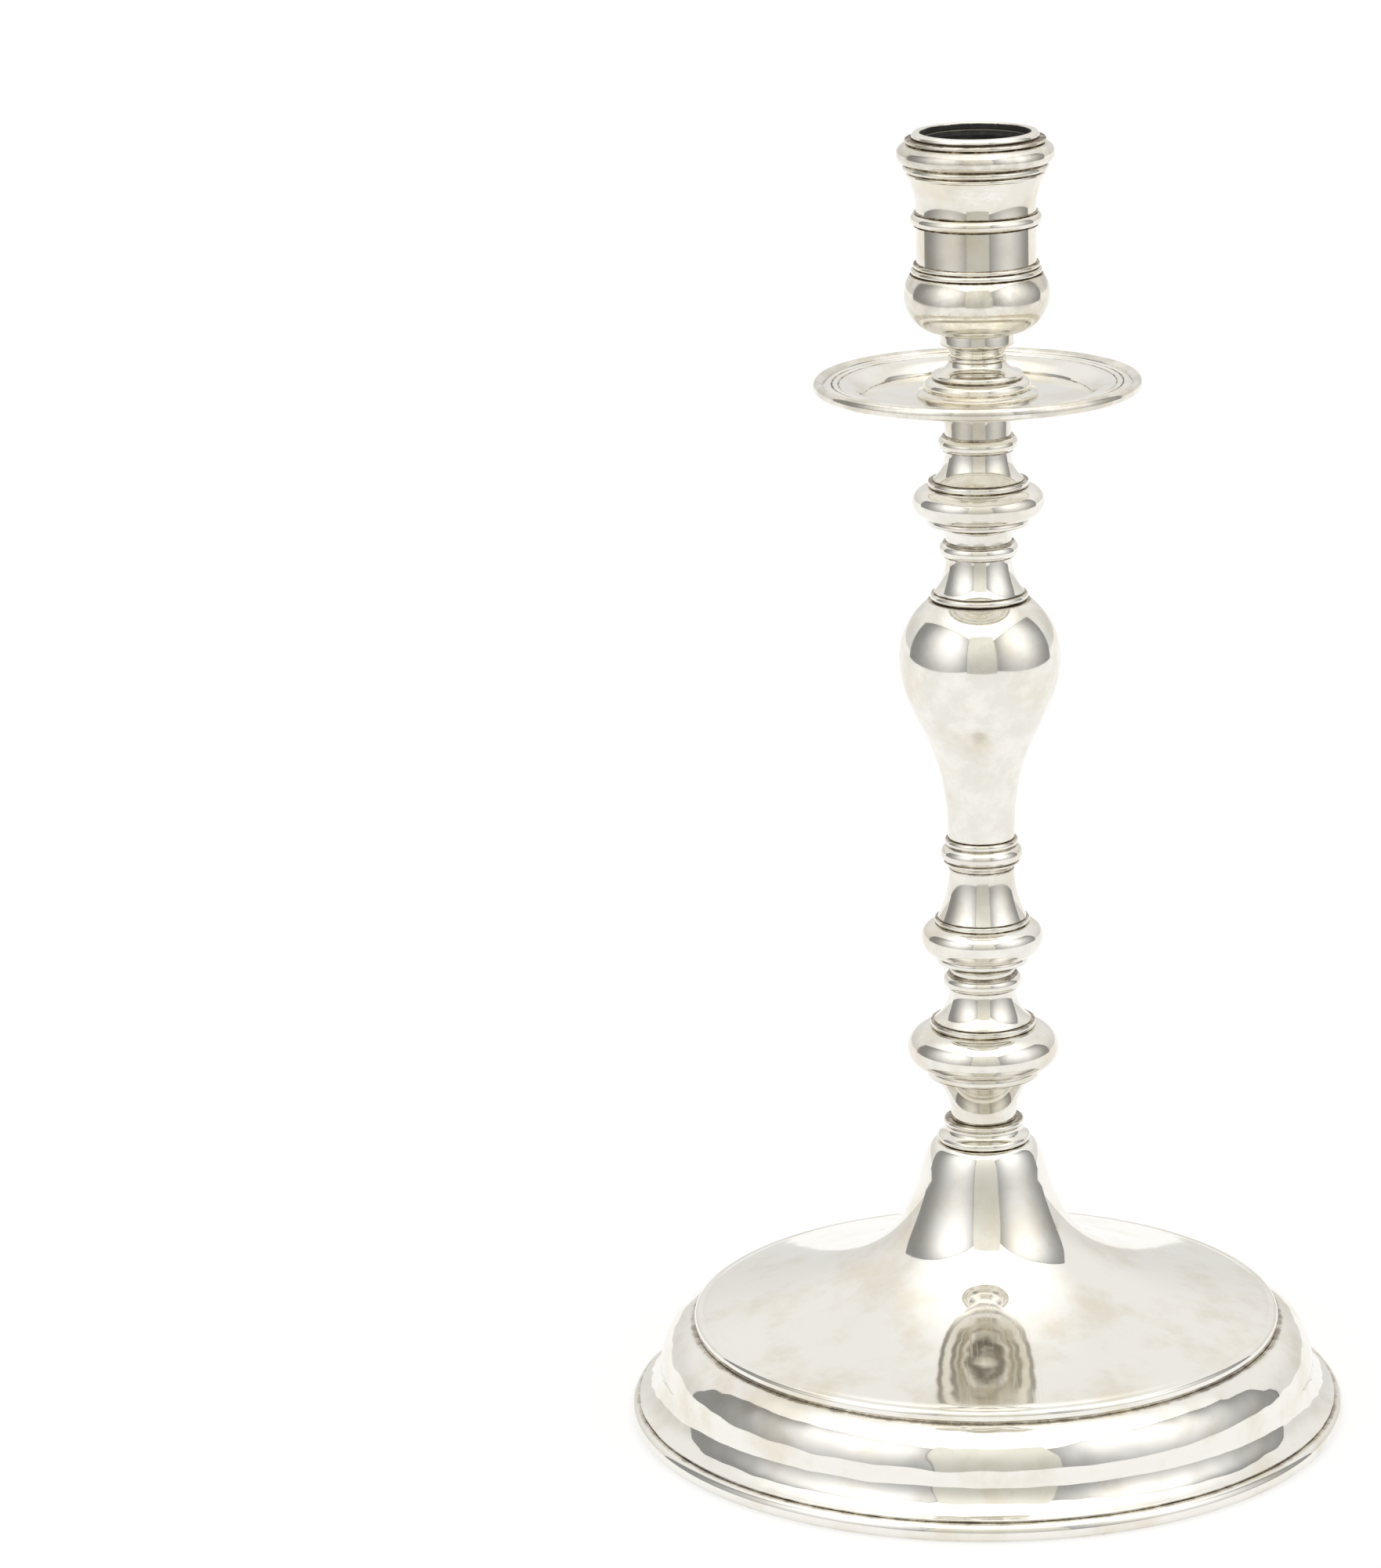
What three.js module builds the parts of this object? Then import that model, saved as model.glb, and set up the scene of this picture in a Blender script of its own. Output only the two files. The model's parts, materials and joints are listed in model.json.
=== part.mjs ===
// A table candlestick in silver: a stepped round foot, a baluster stem of hollow sections threaded on an
// iron tie rod, a drip pan, and a candle socket that screws off the stem and holds a lift-out liner.
// Millimetres, +Z up. The origin is on the table, under the middle of the foot.
import * as THREE from "three";

// ---------- driving dimensions ----------

const GAP = 0.3; // left between two pieces that touch, are soldered or are screwed together
const SLIDE_GAP = 0.4; // round a piece that slides or turns inside another
const SHEET = 1.4; // raised silver sheet of the foot
const CASTING = 1.7; // wall of the hollow stem castings
const BORE = 5.3; // radius of the way through the stem castings
const FILLET_EDGE = 0.5; // how far a fillet's edges round back from its middle
const JOINT_INSET = 1; // a neck's flare is this much narrower than the knop it meets

const foot = {
  wireRadius: 78.8, // outside of the round wire that stands on the table
  wireHeight: 3.8,
  wireFlat: 1.0, // half the width of the ground worn flat under the wire
  borderStep: 1.9, // from the outside of the wire in to the border's lowest edge
  borderFillet: 0.6, // upright edge at the foot of the border
  waistInset: 6.8, // from the outside of the wire in to where the border turns from hollow to round
  waistRise: 8, // from the wire's top up to there
  coveBow: 1.5,
  roundBow: 1.9,
  borderWidth: 13.9, // from the outside of the wire in to the border's top edge
  borderHeight: 17.1, // from the wire's top up to the border's top
  flange: 2.6, // border's flat flange under the dish
};
const dish = {
  inset: 0.5, // from the border's top edge in to the dish's edge
  lipHeight: 2.3, // upright edge of the dish
  lipRound: 0.6,
  pole: 7.2, // radius that the trumpet's curve would climb to without end
  slope: 0.19, // fall of the dish at its rim, as a tangent
  neckRadius: 13, // trumpet, just under its rounded shoulder
  neckRise: 35.7, // from the top of the dish's edge up to there
  shoulderInset: 2.4,
  shoulderHeight: 3.2,
  shoulderBow: 0.7,
  holeRadius: 6.2,
};
const neckRadius = 7.1; // stem between its knops
const collar = { height: 4.8, lowHeight: 2.1, lowStand: 3.1, topStand: 1.5 }; // stands are out from the neck
const beads = { stand: 1.45, height: 3.1 };
const cone = { height: 9.8, bow: 1.1, topInset: 1.2 }; // its top is narrower than the knop's fillet
const lowerKnop = {
  height: 12.1,
  radius: 16.5,
  bottomRadius: 12.4,
  topRadius: 11.5,
  bottomFillet: 1.9,
  topFillet: 1.4,
  bellyShare: 0.47, // how far up between its fillets a knop is widest
};
const lowerNeck = { height: 13, flareHeight: 5.2, coveHeight: 2.6, beadZ: 7.3 };
const middleKnop = {
  height: 9.7,
  radius: 13.2,
  bottomRadius: 10,
  topRadius: 10.3,
  bottomFillet: 1.5,
  topFillet: 1.2,
  bellyShare: 0.6,
};
const middleNeck = { height: 10.9, flareHeight: 7.6 };
const vaseCollar = { height: 6.3, footHeight: 1.3, topHeight: 1.6, topStand: 0.7, beadStand: 1.05 };
const vase = {
  height: 52.6,
  footStand: 0.1, // out from the neck
  radius: 17.3,
  shoulderHeight: 12.3, // from its widest place up to its top
  footPull: 22, // how long its foot stays narrow
  bellyPull: 13, // how long its belly stays wide
  shoulderReach: 16, // half height of the ellipse that its shoulder is part of
  mouthStand: 1.5, // out from the neck
};
const shoulderRing = { height: 1.3, stand: 3.5 };
const shoulderNeck = { height: 14.7, flareHeight: 5.1, coveHeight: 3, beadZ: 7.8 };
const upperKnop = {
  height: 9.2,
  radius: 14.1,
  bottomRadius: 11,
  topRadius: 10.8,
  bottomFillet: 1.4,
  topFillet: 1.4,
  bellyShare: 0.53,
};
const upperNeck = {
  height: 16.8,
  flareHeight: 3.2,
  flareBow: 1,
  beadZ: 6.3,
  headHeight: 3.2, // the small head that the drip pan sits on
  headStand: 2.1,
  headEdge: 0.8,
};

const pan = {
  radius: 34.9, // outside of the rim wire
  wireWidth: 2.3,
  wireHeight: 2.6,
  borderWidth: 3.6,
  wellWidth: 4.2,
  wellDepth: 2.9,
  wellBow: 0.6,
  thickness: 1,
};
const socketFoot = {
  flangeRadius: 12.9,
  flangeHeight: 0.7,
  torusRadius: 11.6,
  torusHeight: 2.7,
  torusBow: 1,
  ringRadius: 9.6,
  ringHeight: 1.3,
  coneHeight: 2.6,
  coneBow: 0.6,
  wristRadius: 6.25,
  wristHeight: 1,
  throatRadius: 5.4,
  throatHeight: 2.2,
};
const socketCollar = { radius: 7.8, height: 2.3 };
const tube = { radius: 12.7, wall: 0.8, height: 21.6, flareHeight: 8, flareWidth: 1.9, flareBow: 0.45 };
const cup = { height: 12.2, lipHeight: 4, bottomRadius: 7.7, bellyStand: 2.8, lipStand: 1.3, wall: 1.6 };
const stepRing = { height: 2.2, lowStand: 1.2, topStand: 0.75 }; // stands are out from the tube
const middleBand = { height: 2.7, stand: 1.2, aboveTubeFoot: 10.2 };
const rim = {
  filletStand: 0.8, // out from the top of the tube's flare
  filletHeight: 1.5,
  torusHeight: 4.2,
  torusBow: 1.65,
  ringStand: 0.2,
  ringHeight: 0.8,
};
const liner = {
  wall: 0.6,
  depth: 28.5,
  floor: 0.8,
  lipHeight: 1.2,
  lipInset: 1.3, // from the edge of the rim moulding's ring in to the lip's edge
  lipEdge: 0.6,
  mouthFlare: 0.75, // how much wider the bore opens at its mouth
};

const rod = { radius: 2.5, pastNut: 0.9 };
const footBush = { height: 3, chamfer: 1.7, taper: 2.2 };
const washer = { radius: 7.6, height: 1.2 };
const nut = { acrossFlats: 10, height: 5 };
const stemBush = { height: 12.6 };
const screw = { radius: 3.2, headRadius: 5.6, headHeight: 1.8, inBush: 8 };

const FOOT_SIDES = 36; // flats round each turned piece, a multiple of four
const PAN_SIDES = 32;
const CUP_SIDES = 20;
const STEM_SIDES = 16;
const SHAFT_SIDES = 12;

// ---------- finishes ----------

const finishes = {
  silver: new THREE.MeshStandardMaterial({ color: 0xe9e5dc, metalness: 1, roughness: 0.12 }),
  sooted: new THREE.MeshStandardMaterial({ color: 0x4a443d, metalness: 1, roughness: 0.5 }),
  iron: new THREE.MeshStandardMaterial({ color: 0x57524d, metalness: 1, roughness: 0.6 }),
  brass: new THREE.MeshStandardMaterial({ color: 0xb08d4f, metalness: 1, roughness: 0.4 }),
};

const candlestick = new THREE.Group();

// ---------- outlines: lists of [radius, height] ----------

// The circular arc between two points. A positive rise bows it to the right of its travel, which is outwards
// on a face that is drawn upwards.
function bow([r0, z0], [r1, z1], rise, steps = 4) {
  const chord = Math.hypot(r1 - r0, z1 - z0);
  const half = 2 * Math.atan((2 * Math.abs(rise)) / chord);
  const points = [];
  for (let i = 0; i <= steps; i++) {
    const angle = half * ((2 * i) / steps - 1);
    const along = 0.5 + Math.sin(angle) / (2 * Math.sin(half));
    const out = (Math.sign(rise) * (Math.cos(angle) - Math.cos(half))) / (2 * Math.sin(half));
    points.push([r0 + (r1 - r0) * along + (z1 - z0) * out, z0 + (z1 - z0) * along - (r1 - r0) * out]);
  }
  return points;
}

// The part of an upright ellipse between two angles, in degrees from the outward horizontal.
function ellipse([r, z], wide, high, from, to, steps) {
  return Array.from({ length: steps + 1 }, (_, i) => {
    const angle = THREE.MathUtils.degToRad(from + ((to - from) * i) / steps);
    return [r + wide * Math.cos(angle), z + high * Math.sin(angle)];
  });
}

// A sheet's closed outline: its outer face, and the same face moved in by the sheet's thickness.
function sheetOutline(face, thickness) {
  const inner = face.map(([r, z], i) => {
    const [ra, za] = face[Math.max(i - 1, 0)];
    const [rb, zb] = face[Math.min(i + 1, face.length - 1)];
    const length = Math.hypot(rb - ra, zb - za);
    return [r - (thickness * (zb - za)) / length, z + (thickness * (rb - ra)) / length];
  });
  return [...face, ...inner.reverse()];
}

const lift = (points, z) => points.map(([r, h]) => [r, h + z]);
const bored = (face, radius) => [...face, [radius, face.at(-1)[1]], [radius, face[0][1]]];

// Turns a closed outline, drawn up its outside and down its inside, round the Z axis.
function turned(name, finish, outline, sides = STEM_SIDES) {
  const loop = [...outline, outline[0]].map(([r, z]) => new THREE.Vector2(r, z));
  const geometry = new THREE.LatheGeometry(loop, sides);
  geometry.rotateX(Math.PI / 2);
  const mesh = new THREE.Mesh(geometry, finishes[finish].clone());
  mesh.name = name;
  candlestick.add(mesh);
  return mesh;
}

// A half-round wire laid round a neck or a tube of a given radius.
function beadRing(name, z, size = beads, radius = neckRadius, sides = STEM_SIDES) {
  const edge = radius + GAP + (size.stand - GAP) * 0.3;
  const face = bow([edge, z], [edge, z + size.height], radius + size.stand - edge);
  turned(name, "silver", bored(face, radius + GAP), sides);
}

// A plain round bar.
function shaft(name, finish, radius, z0, z1) {
  turned(name, finish, [[0, z0], [radius, z0], [radius, z1], [0, z1]], SHAFT_SIDES);
}

// A hollow knop: fillet, round belly, fillet.
function knop(name, z, size) {
  const low = size.bottomFillet;
  const high = size.height - size.topFillet;
  const belly = low + (high - low) * size.bellyShare;
  const face = [
    [size.bottomRadius - 2 * FILLET_EDGE, 0],
    [size.bottomRadius, low / 2],
    [size.bottomRadius - FILLET_EDGE, low],
    ...ellipse([size.bottomRadius, belly], size.radius - size.bottomRadius, belly - low, -60, 0, 2),
    ...ellipse([size.topRadius, belly], size.radius - size.topRadius, high - belly, 30, 60, 1),
    [size.topRadius - FILLET_EDGE, high],
    [size.topRadius, high + size.topFillet / 2],
    [size.topRadius - FILLET_EDGE, size.height],
  ];
  const hollow = [
    [BORE, size.height],
    [BORE, high],
    [size.radius - 1.5 * CASTING, belly],
    [BORE, low],
    [BORE, 0],
  ];
  turned(name, "silver", lift([...face, ...hollow], z));
}

// ---------- foot ----------

const wireMiddle = foot.wireRadius - foot.wireHeight / 2;
turned(
  "foot_wire",
  "silver",
  [
    [wireMiddle + foot.wireFlat, 0],
    ...ellipse([wireMiddle, foot.wireHeight / 2], foot.wireHeight / 2, foot.wireHeight / 2, -45, 90, 3),
    [wireMiddle - foot.wireHeight / 2, foot.wireHeight / 2],
    [wireMiddle - foot.wireFlat, 0],
  ],
  FOOT_SIDES,
);

const borderRadius = foot.wireRadius - foot.borderStep;
const borderZ = foot.wireHeight + GAP;
const coveZ = borderZ + foot.borderFillet;
const waist = [foot.wireRadius - foot.waistInset, foot.wireHeight + foot.waistRise];
const borderTop = [foot.wireRadius - foot.borderWidth, foot.wireHeight + foot.borderHeight];
turned(
  "foot_border",
  "silver",
  sheetOutline(
    [
      [borderRadius, borderZ],
      [borderRadius, coveZ],
      ...bow([borderRadius - GAP, coveZ], waist, -foot.coveBow, 3).slice(1),
      ...bow(waist, borderTop, foot.roundBow, 4).slice(1),
      [borderTop[0] - foot.flange, borderTop[1]],
    ],
    SHEET,
  ),
  FOOT_SIDES,
);

// The dish climbs to the trumpet as z = level + rise / (r - pole) - slope * r, through its rim and its neck.
const dishRadius = borderTop[0] - dish.inset;
const dishZ = borderTop[1] + GAP;
const rimRadius = dishRadius - dish.lipRound;
const rimZ = dishZ + dish.lipHeight;
const neckZ = rimZ + dish.neckRise;
const dishTop = [dish.neckRadius - dish.shoulderInset, neckZ + dish.shoulderHeight];
const climb = 1 / (dish.neckRadius - dish.pole) - 1 / (rimRadius - dish.pole);
const trumpetRise = (dish.neckRise - dish.slope * (rimRadius - dish.neckRadius)) / climb;
const trumpetLevel = rimZ + dish.slope * rimRadius - trumpetRise / (rimRadius - dish.pole);
const trumpetZ = (r) => trumpetLevel + trumpetRise / (r - dish.pole) - dish.slope * r;
const dishSteps = 9;
const dishFace = Array.from({ length: dishSteps + 1 }, (_, i) => {
  const r = dish.neckRadius + (rimRadius - dish.neckRadius) * (1 - i / dishSteps) ** 2;
  return [r, trumpetZ(r)];
});
turned(
  "foot_dish",
  "silver",
  sheetOutline(
    [
      [dishRadius, dishZ],
      [dishRadius, rimZ - dish.lipRound],
      ...dishFace,
      ...bow([dish.neckRadius, neckZ], dishTop, dish.shoulderBow, 3).slice(1),
      [dish.holeRadius, dishTop[1]],
    ],
    SHEET,
  ),
  FOOT_SIDES,
);

const collarZ = dishTop[1] + GAP;
const collarLow = neckRadius + collar.lowStand - FILLET_EDGE;
const collarTop = neckRadius + collar.topStand;
turned(
  "foot_collar",
  "silver",
  bored(
    lift(
      [
        ...bow([collarLow, 0], [collarLow, collar.lowHeight], FILLET_EDGE, 3),
        [collarTop, collar.lowHeight + FILLET_EDGE],
        [collarTop, collar.height - FILLET_EDGE],
        [collarTop - FILLET_EDGE, collar.height],
      ],
      collarZ,
    ),
    BORE,
  ),
);

// ---------- stem ----------

// A neck that flares out at its foot, runs straight through its bead, and may flare again under a knop.
function neck(name, z, size, footRadius, topRadius) {
  const face = bow([footRadius, 0], [neckRadius, size.flareHeight], (neckRadius - footRadius) * 0.35, 4);
  if (topRadius) {
    const coveZ = size.height - size.coveHeight;
    face.push(...bow([neckRadius, coveZ], [topRadius, size.height], (neckRadius - topRadius) * 0.3, 3));
  } else {
    face.push([neckRadius, size.height]);
  }
  turned(name, "silver", lift(bored(face, BORE), z));
}

const coneZ = collarZ + collar.height + GAP;
const coneTop = [lowerKnop.bottomRadius - cone.topInset, cone.height];
turned("lower_cone", "silver", lift(bored(bow([neckRadius, 0], coneTop, -cone.bow, 5), BORE), coneZ));

const lowerKnopZ = coneZ + cone.height + GAP;
knop("lower_knop", lowerKnopZ, lowerKnop);

const lowerNeckZ = lowerKnopZ + lowerKnop.height + GAP;
neck(
  "lower_neck",
  lowerNeckZ,
  lowerNeck,
  lowerKnop.topRadius - JOINT_INSET,
  middleKnop.bottomRadius - JOINT_INSET,
);
beadRing("lower_bead", lowerNeckZ + lowerNeck.beadZ);

const middleKnopZ = lowerNeckZ + lowerNeck.height + GAP;
knop("middle_knop", middleKnopZ, middleKnop);

const middleNeckZ = middleKnopZ + middleKnop.height + GAP;
neck("middle_neck", middleNeckZ, middleNeck, middleKnop.topRadius - JOINT_INSET);

const vaseCollarZ = middleNeckZ + middleNeck.height + GAP;
const collarBeadTop = vaseCollar.height - vaseCollar.topHeight;
const collarRadius = neckRadius + vaseCollar.topStand;
turned(
  "vase_collar",
  "silver",
  bored(
    lift(
      [
        [neckRadius, 0],
        [neckRadius, vaseCollar.footHeight],
        ...bow([collarRadius, vaseCollar.footHeight], [collarRadius, collarBeadTop], vaseCollar.beadStand),
        [collarRadius, vaseCollar.height - FILLET_EDGE],
        [collarRadius - FILLET_EDGE, vaseCollar.height],
      ],
      vaseCollarZ,
    ),
    BORE,
  ),
);

const vaseZ = vaseCollarZ + vaseCollar.height + GAP;
const bellyZ = vase.height - vase.shoulderHeight;
const shoulderAngle = THREE.MathUtils.radToDeg(Math.asin(vase.shoulderHeight / vase.shoulderReach));
const vaseFlank = new THREE.CubicBezierCurve(
  new THREE.Vector2(neckRadius + vase.footStand, 0),
  new THREE.Vector2(neckRadius + vase.footStand, vase.footPull),
  new THREE.Vector2(vase.radius, bellyZ - vase.bellyPull),
  new THREE.Vector2(vase.radius, bellyZ),
);
turned(
  "vase",
  "silver",
  lift(
    sheetOutline(
      [
        ...vaseFlank.getPoints(8).map((p) => [p.x, p.y]),
        ...ellipse([0, bellyZ], vase.radius, vase.shoulderReach, 0, shoulderAngle, 4).slice(1),
        [neckRadius + vase.mouthStand, vase.height],
      ],
      CASTING,
    ),
    vaseZ,
  ),
  CUP_SIDES,
);

const shoulderRingZ = vaseZ + vase.height + GAP;
const ringEdge = neckRadius + shoulderRing.stand - FILLET_EDGE;
turned(
  "shoulder_ring",
  "silver",
  lift(bored(bow([ringEdge, 0], [ringEdge, shoulderRing.height], FILLET_EDGE, 3), BORE), shoulderRingZ),
);

const shoulderNeckZ = shoulderRingZ + shoulderRing.height + GAP;
neck(
  "shoulder_neck",
  shoulderNeckZ,
  shoulderNeck,
  neckRadius + shoulderRing.stand - JOINT_INSET,
  upperKnop.bottomRadius - 2 * JOINT_INSET,
);
beadRing("shoulder_bead", shoulderNeckZ + shoulderNeck.beadZ);

const upperKnopZ = shoulderNeckZ + shoulderNeck.height + GAP;
knop("upper_knop", upperKnopZ, upperKnop);

const upperNeckZ = upperKnopZ + upperKnop.height + GAP;
const stemTopZ = upperNeckZ + upperNeck.height;
const headRadius = neckRadius + upperNeck.headStand;
turned(
  "upper_neck",
  "silver",
  lift(
    bored(
      [
        ...bow(
          [upperKnop.topRadius - JOINT_INSET, 0],
          [neckRadius, upperNeck.flareHeight],
          -upperNeck.flareBow,
        ),
        [neckRadius, upperNeck.height - upperNeck.headHeight],
        [headRadius, upperNeck.height - upperNeck.headEdge],
        [headRadius, upperNeck.height],
      ],
      BORE,
    ),
    upperNeckZ,
  ),
);
beadRing("upper_bead", upperNeckZ + upperNeck.beadZ);

// ---------- what holds the stem together ----------

const footBushZ = dishTop[1] - SHEET - GAP - footBush.height;
const footBushRadius = dish.neckRadius - SHEET - 2 * GAP;
const rodHole = rod.radius + GAP;
turned(
  "foot_bush",
  "brass",
  bored(
    lift(
      [
        [footBushRadius, 0],
        [footBushRadius, footBush.height - footBush.chamfer],
        [footBushRadius - footBush.taper, footBush.height],
      ],
      footBushZ,
    ),
    rodHole,
  ),
);

const washerZ = footBushZ - GAP - washer.height;
const washerFace = [
  [washer.radius, washerZ],
  [washer.radius, washerZ + washer.height],
];
turned("rod_washer", "iron", bored(washerFace, rodHole));

const nutZ = washerZ - GAP - nut.height;
const nutRadius = nut.acrossFlats / 2 / Math.cos(Math.PI / 6);
const nutShape = new THREE.Shape(
  Array.from({ length: 6 }, (_, i) => {
    const angle = (i * Math.PI) / 3;
    return new THREE.Vector2(nutRadius * Math.cos(angle), nutRadius * Math.sin(angle));
  }),
);
nutShape.holes.push(new THREE.Path().absarc(0, 0, rodHole, 0, 2 * Math.PI, true));
const nutMesh = new THREE.Mesh(
  new THREE.ExtrudeGeometry(nutShape, { depth: nut.height, bevelEnabled: false, curveSegments: 8 }),
  finishes.iron.clone(),
);
nutMesh.name = "rod_nut";
nutMesh.position.z = nutZ;
candlestick.add(nutMesh);

const stemBushTop = stemTopZ - GAP;
const stemBushZ = stemBushTop - stemBush.height;
const screwZ = stemBushTop - screw.inBush;
const stemBushStep = screwZ - GAP;
turned("stem_bush", "brass", [
  [BORE - GAP, stemBushZ],
  [BORE - GAP, stemBushTop],
  [screw.radius + GAP, stemBushTop],
  [screw.radius + GAP, stemBushStep],
  [rodHole, stemBushStep],
  [rodHole, stemBushZ],
]);

const rodZ = nutZ - rod.pastNut;
shaft("tie_rod", "iron", rod.radius, rodZ, stemBushStep - GAP);

// ---------- drip pan ----------

const panZ = stemTopZ + GAP;
const panTopZ = panZ + pan.thickness;
const screwHole = screw.radius + GAP;
const borderOutside = pan.radius - pan.wireWidth - GAP;
const wellRadius = borderOutside - pan.borderWidth;
const plateRadius = wellRadius - pan.wellWidth;
const plateFace = [
  [screwHole, 0],
  [plateRadius, 0],
  ...bow([plateRadius, 0], [wellRadius, pan.wellDepth], pan.wellBow, 3).slice(1),
  [borderOutside, pan.wellDepth],
];
turned("drip_pan", "silver", lift(sheetOutline(plateFace, pan.thickness), panZ), PAN_SIDES);

const panWireMiddle = pan.radius - pan.wireWidth / 2;
const panWireZ = panZ + pan.wellDepth + pan.thickness / 2;
turned(
  "pan_rim_wire",
  "silver",
  ellipse([panWireMiddle, panWireZ], pan.wireWidth / 2, pan.wireHeight / 2, -90, 225, 7),
  PAN_SIDES,
);

// ---------- candle socket ----------

const socketZ = panTopZ + GAP;
const torusTop = socketFoot.flangeHeight + socketFoot.torusHeight;
const ringTop = torusTop + socketFoot.ringHeight;
const wristZ = ringTop + socketFoot.coneHeight;
const throatZ = wristZ + socketFoot.wristHeight;
const socketFootTop = throatZ + socketFoot.throatHeight;
turned(
  "socket_foot",
  "silver",
  lift(
    bored(
      [
        [socketFoot.flangeRadius, 0],
        [socketFoot.flangeRadius, socketFoot.flangeHeight],
        ...bow(
          [socketFoot.torusRadius - socketFoot.torusBow, socketFoot.flangeHeight],
          [socketFoot.ringRadius, torusTop],
          socketFoot.torusBow,
        ).slice(1),
        [socketFoot.ringRadius, ringTop],
        ...bow(
          [socketFoot.ringRadius - FILLET_EDGE, ringTop],
          [socketFoot.wristRadius - FILLET_EDGE, wristZ],
          -socketFoot.coneBow,
          3,
        ).slice(1),
        [socketFoot.wristRadius, wristZ + socketFoot.wristHeight / 2],
        [socketFoot.throatRadius, throatZ],
        [socketCollar.radius - FILLET_EDGE, socketFootTop],
      ],
      screwHole,
    ),
    socketZ,
  ),
  CUP_SIDES,
);

const socketCollarZ = socketZ + socketFootTop + GAP;
turned(
  "socket_collar",
  "silver",
  bored(
    [
      [socketCollar.radius, socketCollarZ],
      [socketCollar.radius, socketCollarZ + socketCollar.height],
    ],
    screwHole,
  ),
  CUP_SIDES,
);

const cupZ = socketCollarZ + socketCollar.height + GAP;
const tubeInside = tube.radius - tube.wall;
const cupBellyZ = cup.height - cup.lipHeight;
const cupReach = tube.radius + cup.bellyStand - cup.bottomRadius;
const cupLipReach = tube.radius + cup.lipStand - cup.bottomRadius;
const cupLipAngle = THREE.MathUtils.radToDeg(Math.acos(cupLipReach / cupReach));
turned(
  "cup_bowl",
  "silver",
  lift(
    sheetOutline(
      [
        [screwHole, 0],
        ...ellipse([cup.bottomRadius, cupBellyZ], cupReach, cupBellyZ, -90, 0, 5),
        ...ellipse(
          [cup.bottomRadius, cupBellyZ],
          cupReach,
          cup.lipHeight / Math.sin(THREE.MathUtils.degToRad(cupLipAngle)),
          0,
          cupLipAngle,
          2,
        ).slice(1),
        [tubeInside, cup.height],
      ],
      cup.wall,
    ),
    cupZ,
  ),
  CUP_SIDES,
);

const tubeZ = cupZ + cup.height + GAP;
const flareFoot = [tube.radius, tube.height - tube.flareHeight];
const flareTop = [tube.radius + tube.flareWidth, tube.height];
turned(
  "socket_tube",
  "silver",
  lift(bored([[tube.radius, 0], ...bow(flareFoot, flareTop, -tube.flareBow, 4)], tubeInside), tubeZ),
  CUP_SIDES,
);

turned(
  "step_ring",
  "silver",
  lift(
    bored(
      [
        [tube.radius + stepRing.lowStand, 0],
        [tube.radius + stepRing.lowStand, stepRing.height / 2],
        [tube.radius + stepRing.topStand, stepRing.height / 2],
        [tube.radius + stepRing.topStand, stepRing.height],
      ],
      tube.radius + GAP,
    ),
    tubeZ,
  ),
  CUP_SIDES,
);
beadRing("middle_band", tubeZ + middleBand.aboveTubeFoot, middleBand, tube.radius, CUP_SIDES);

const rimBottomZ = tubeZ + tube.height + GAP;
const rimTorusTop = rim.filletHeight + rim.torusHeight;
const rimFillet = flareTop[0] + rim.filletStand;
const rimRing = flareTop[0] + rim.ringStand;
turned(
  "rim_moulding",
  "silver",
  lift(
    bored(
      [
        [rimFillet - FILLET_EDGE, 0],
        [rimFillet, rim.filletHeight],
        ...bow([rimFillet, rim.filletHeight], [rimRing, rimTorusTop], rim.torusBow, 5).slice(1),
        [rimRing, rimTorusTop + rim.ringHeight],
      ],
      tubeInside,
    ),
    rimBottomZ,
  ),
  CUP_SIDES,
);

const linerLipZ = rimBottomZ + rimTorusTop + rim.ringHeight + GAP;
const mouthZ = linerLipZ + liner.lipHeight;
const linerZ = mouthZ - liner.depth;
const linerRadius = tubeInside - SLIDE_GAP;
const linerLip = rimRing - liner.lipInset;
const candleRadius = linerRadius - liner.wall;
turned(
  "socket_liner",
  "sooted",
  [
    [0, linerZ],
    [linerRadius, linerZ],
    [linerRadius, linerLipZ],
    [linerLip, linerLipZ],
    [linerLip, mouthZ - liner.lipEdge],
    [linerLip - liner.lipEdge, mouthZ],
    [candleRadius + liner.mouthFlare, mouthZ],
    [candleRadius, linerLipZ - liner.lipHeight],
    [candleRadius, linerZ + liner.floor],
    [0, linerZ + liner.floor],
  ],
  CUP_SIDES,
);

const screwHeadZ = cupZ + cup.wall + GAP;
turned(
  "socket_screw",
  "iron",
  [
    [0, screwZ],
    [screw.radius, screwZ],
    [screw.radius, screwHeadZ],
    [screw.headRadius, screwHeadZ],
    [screw.headRadius, screwHeadZ + screw.headHeight],
    [0, screwHeadZ + screw.headHeight],
  ],
  SHAFT_SIDES,
);

export default candlestick;
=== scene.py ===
"""A silver candlestick of turned and raised work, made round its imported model.

Outlines are lists of (radius, height) in millimetres. Each one is drawn up the outside of its piece and
down the inside, and is turned round the stem's axis by the Geometry Nodes tree "Turned work".
"""

import json
import math
from collections import namedtuple

import bpy
import numpy as np
from mathutils import Matrix, Vector


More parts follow.
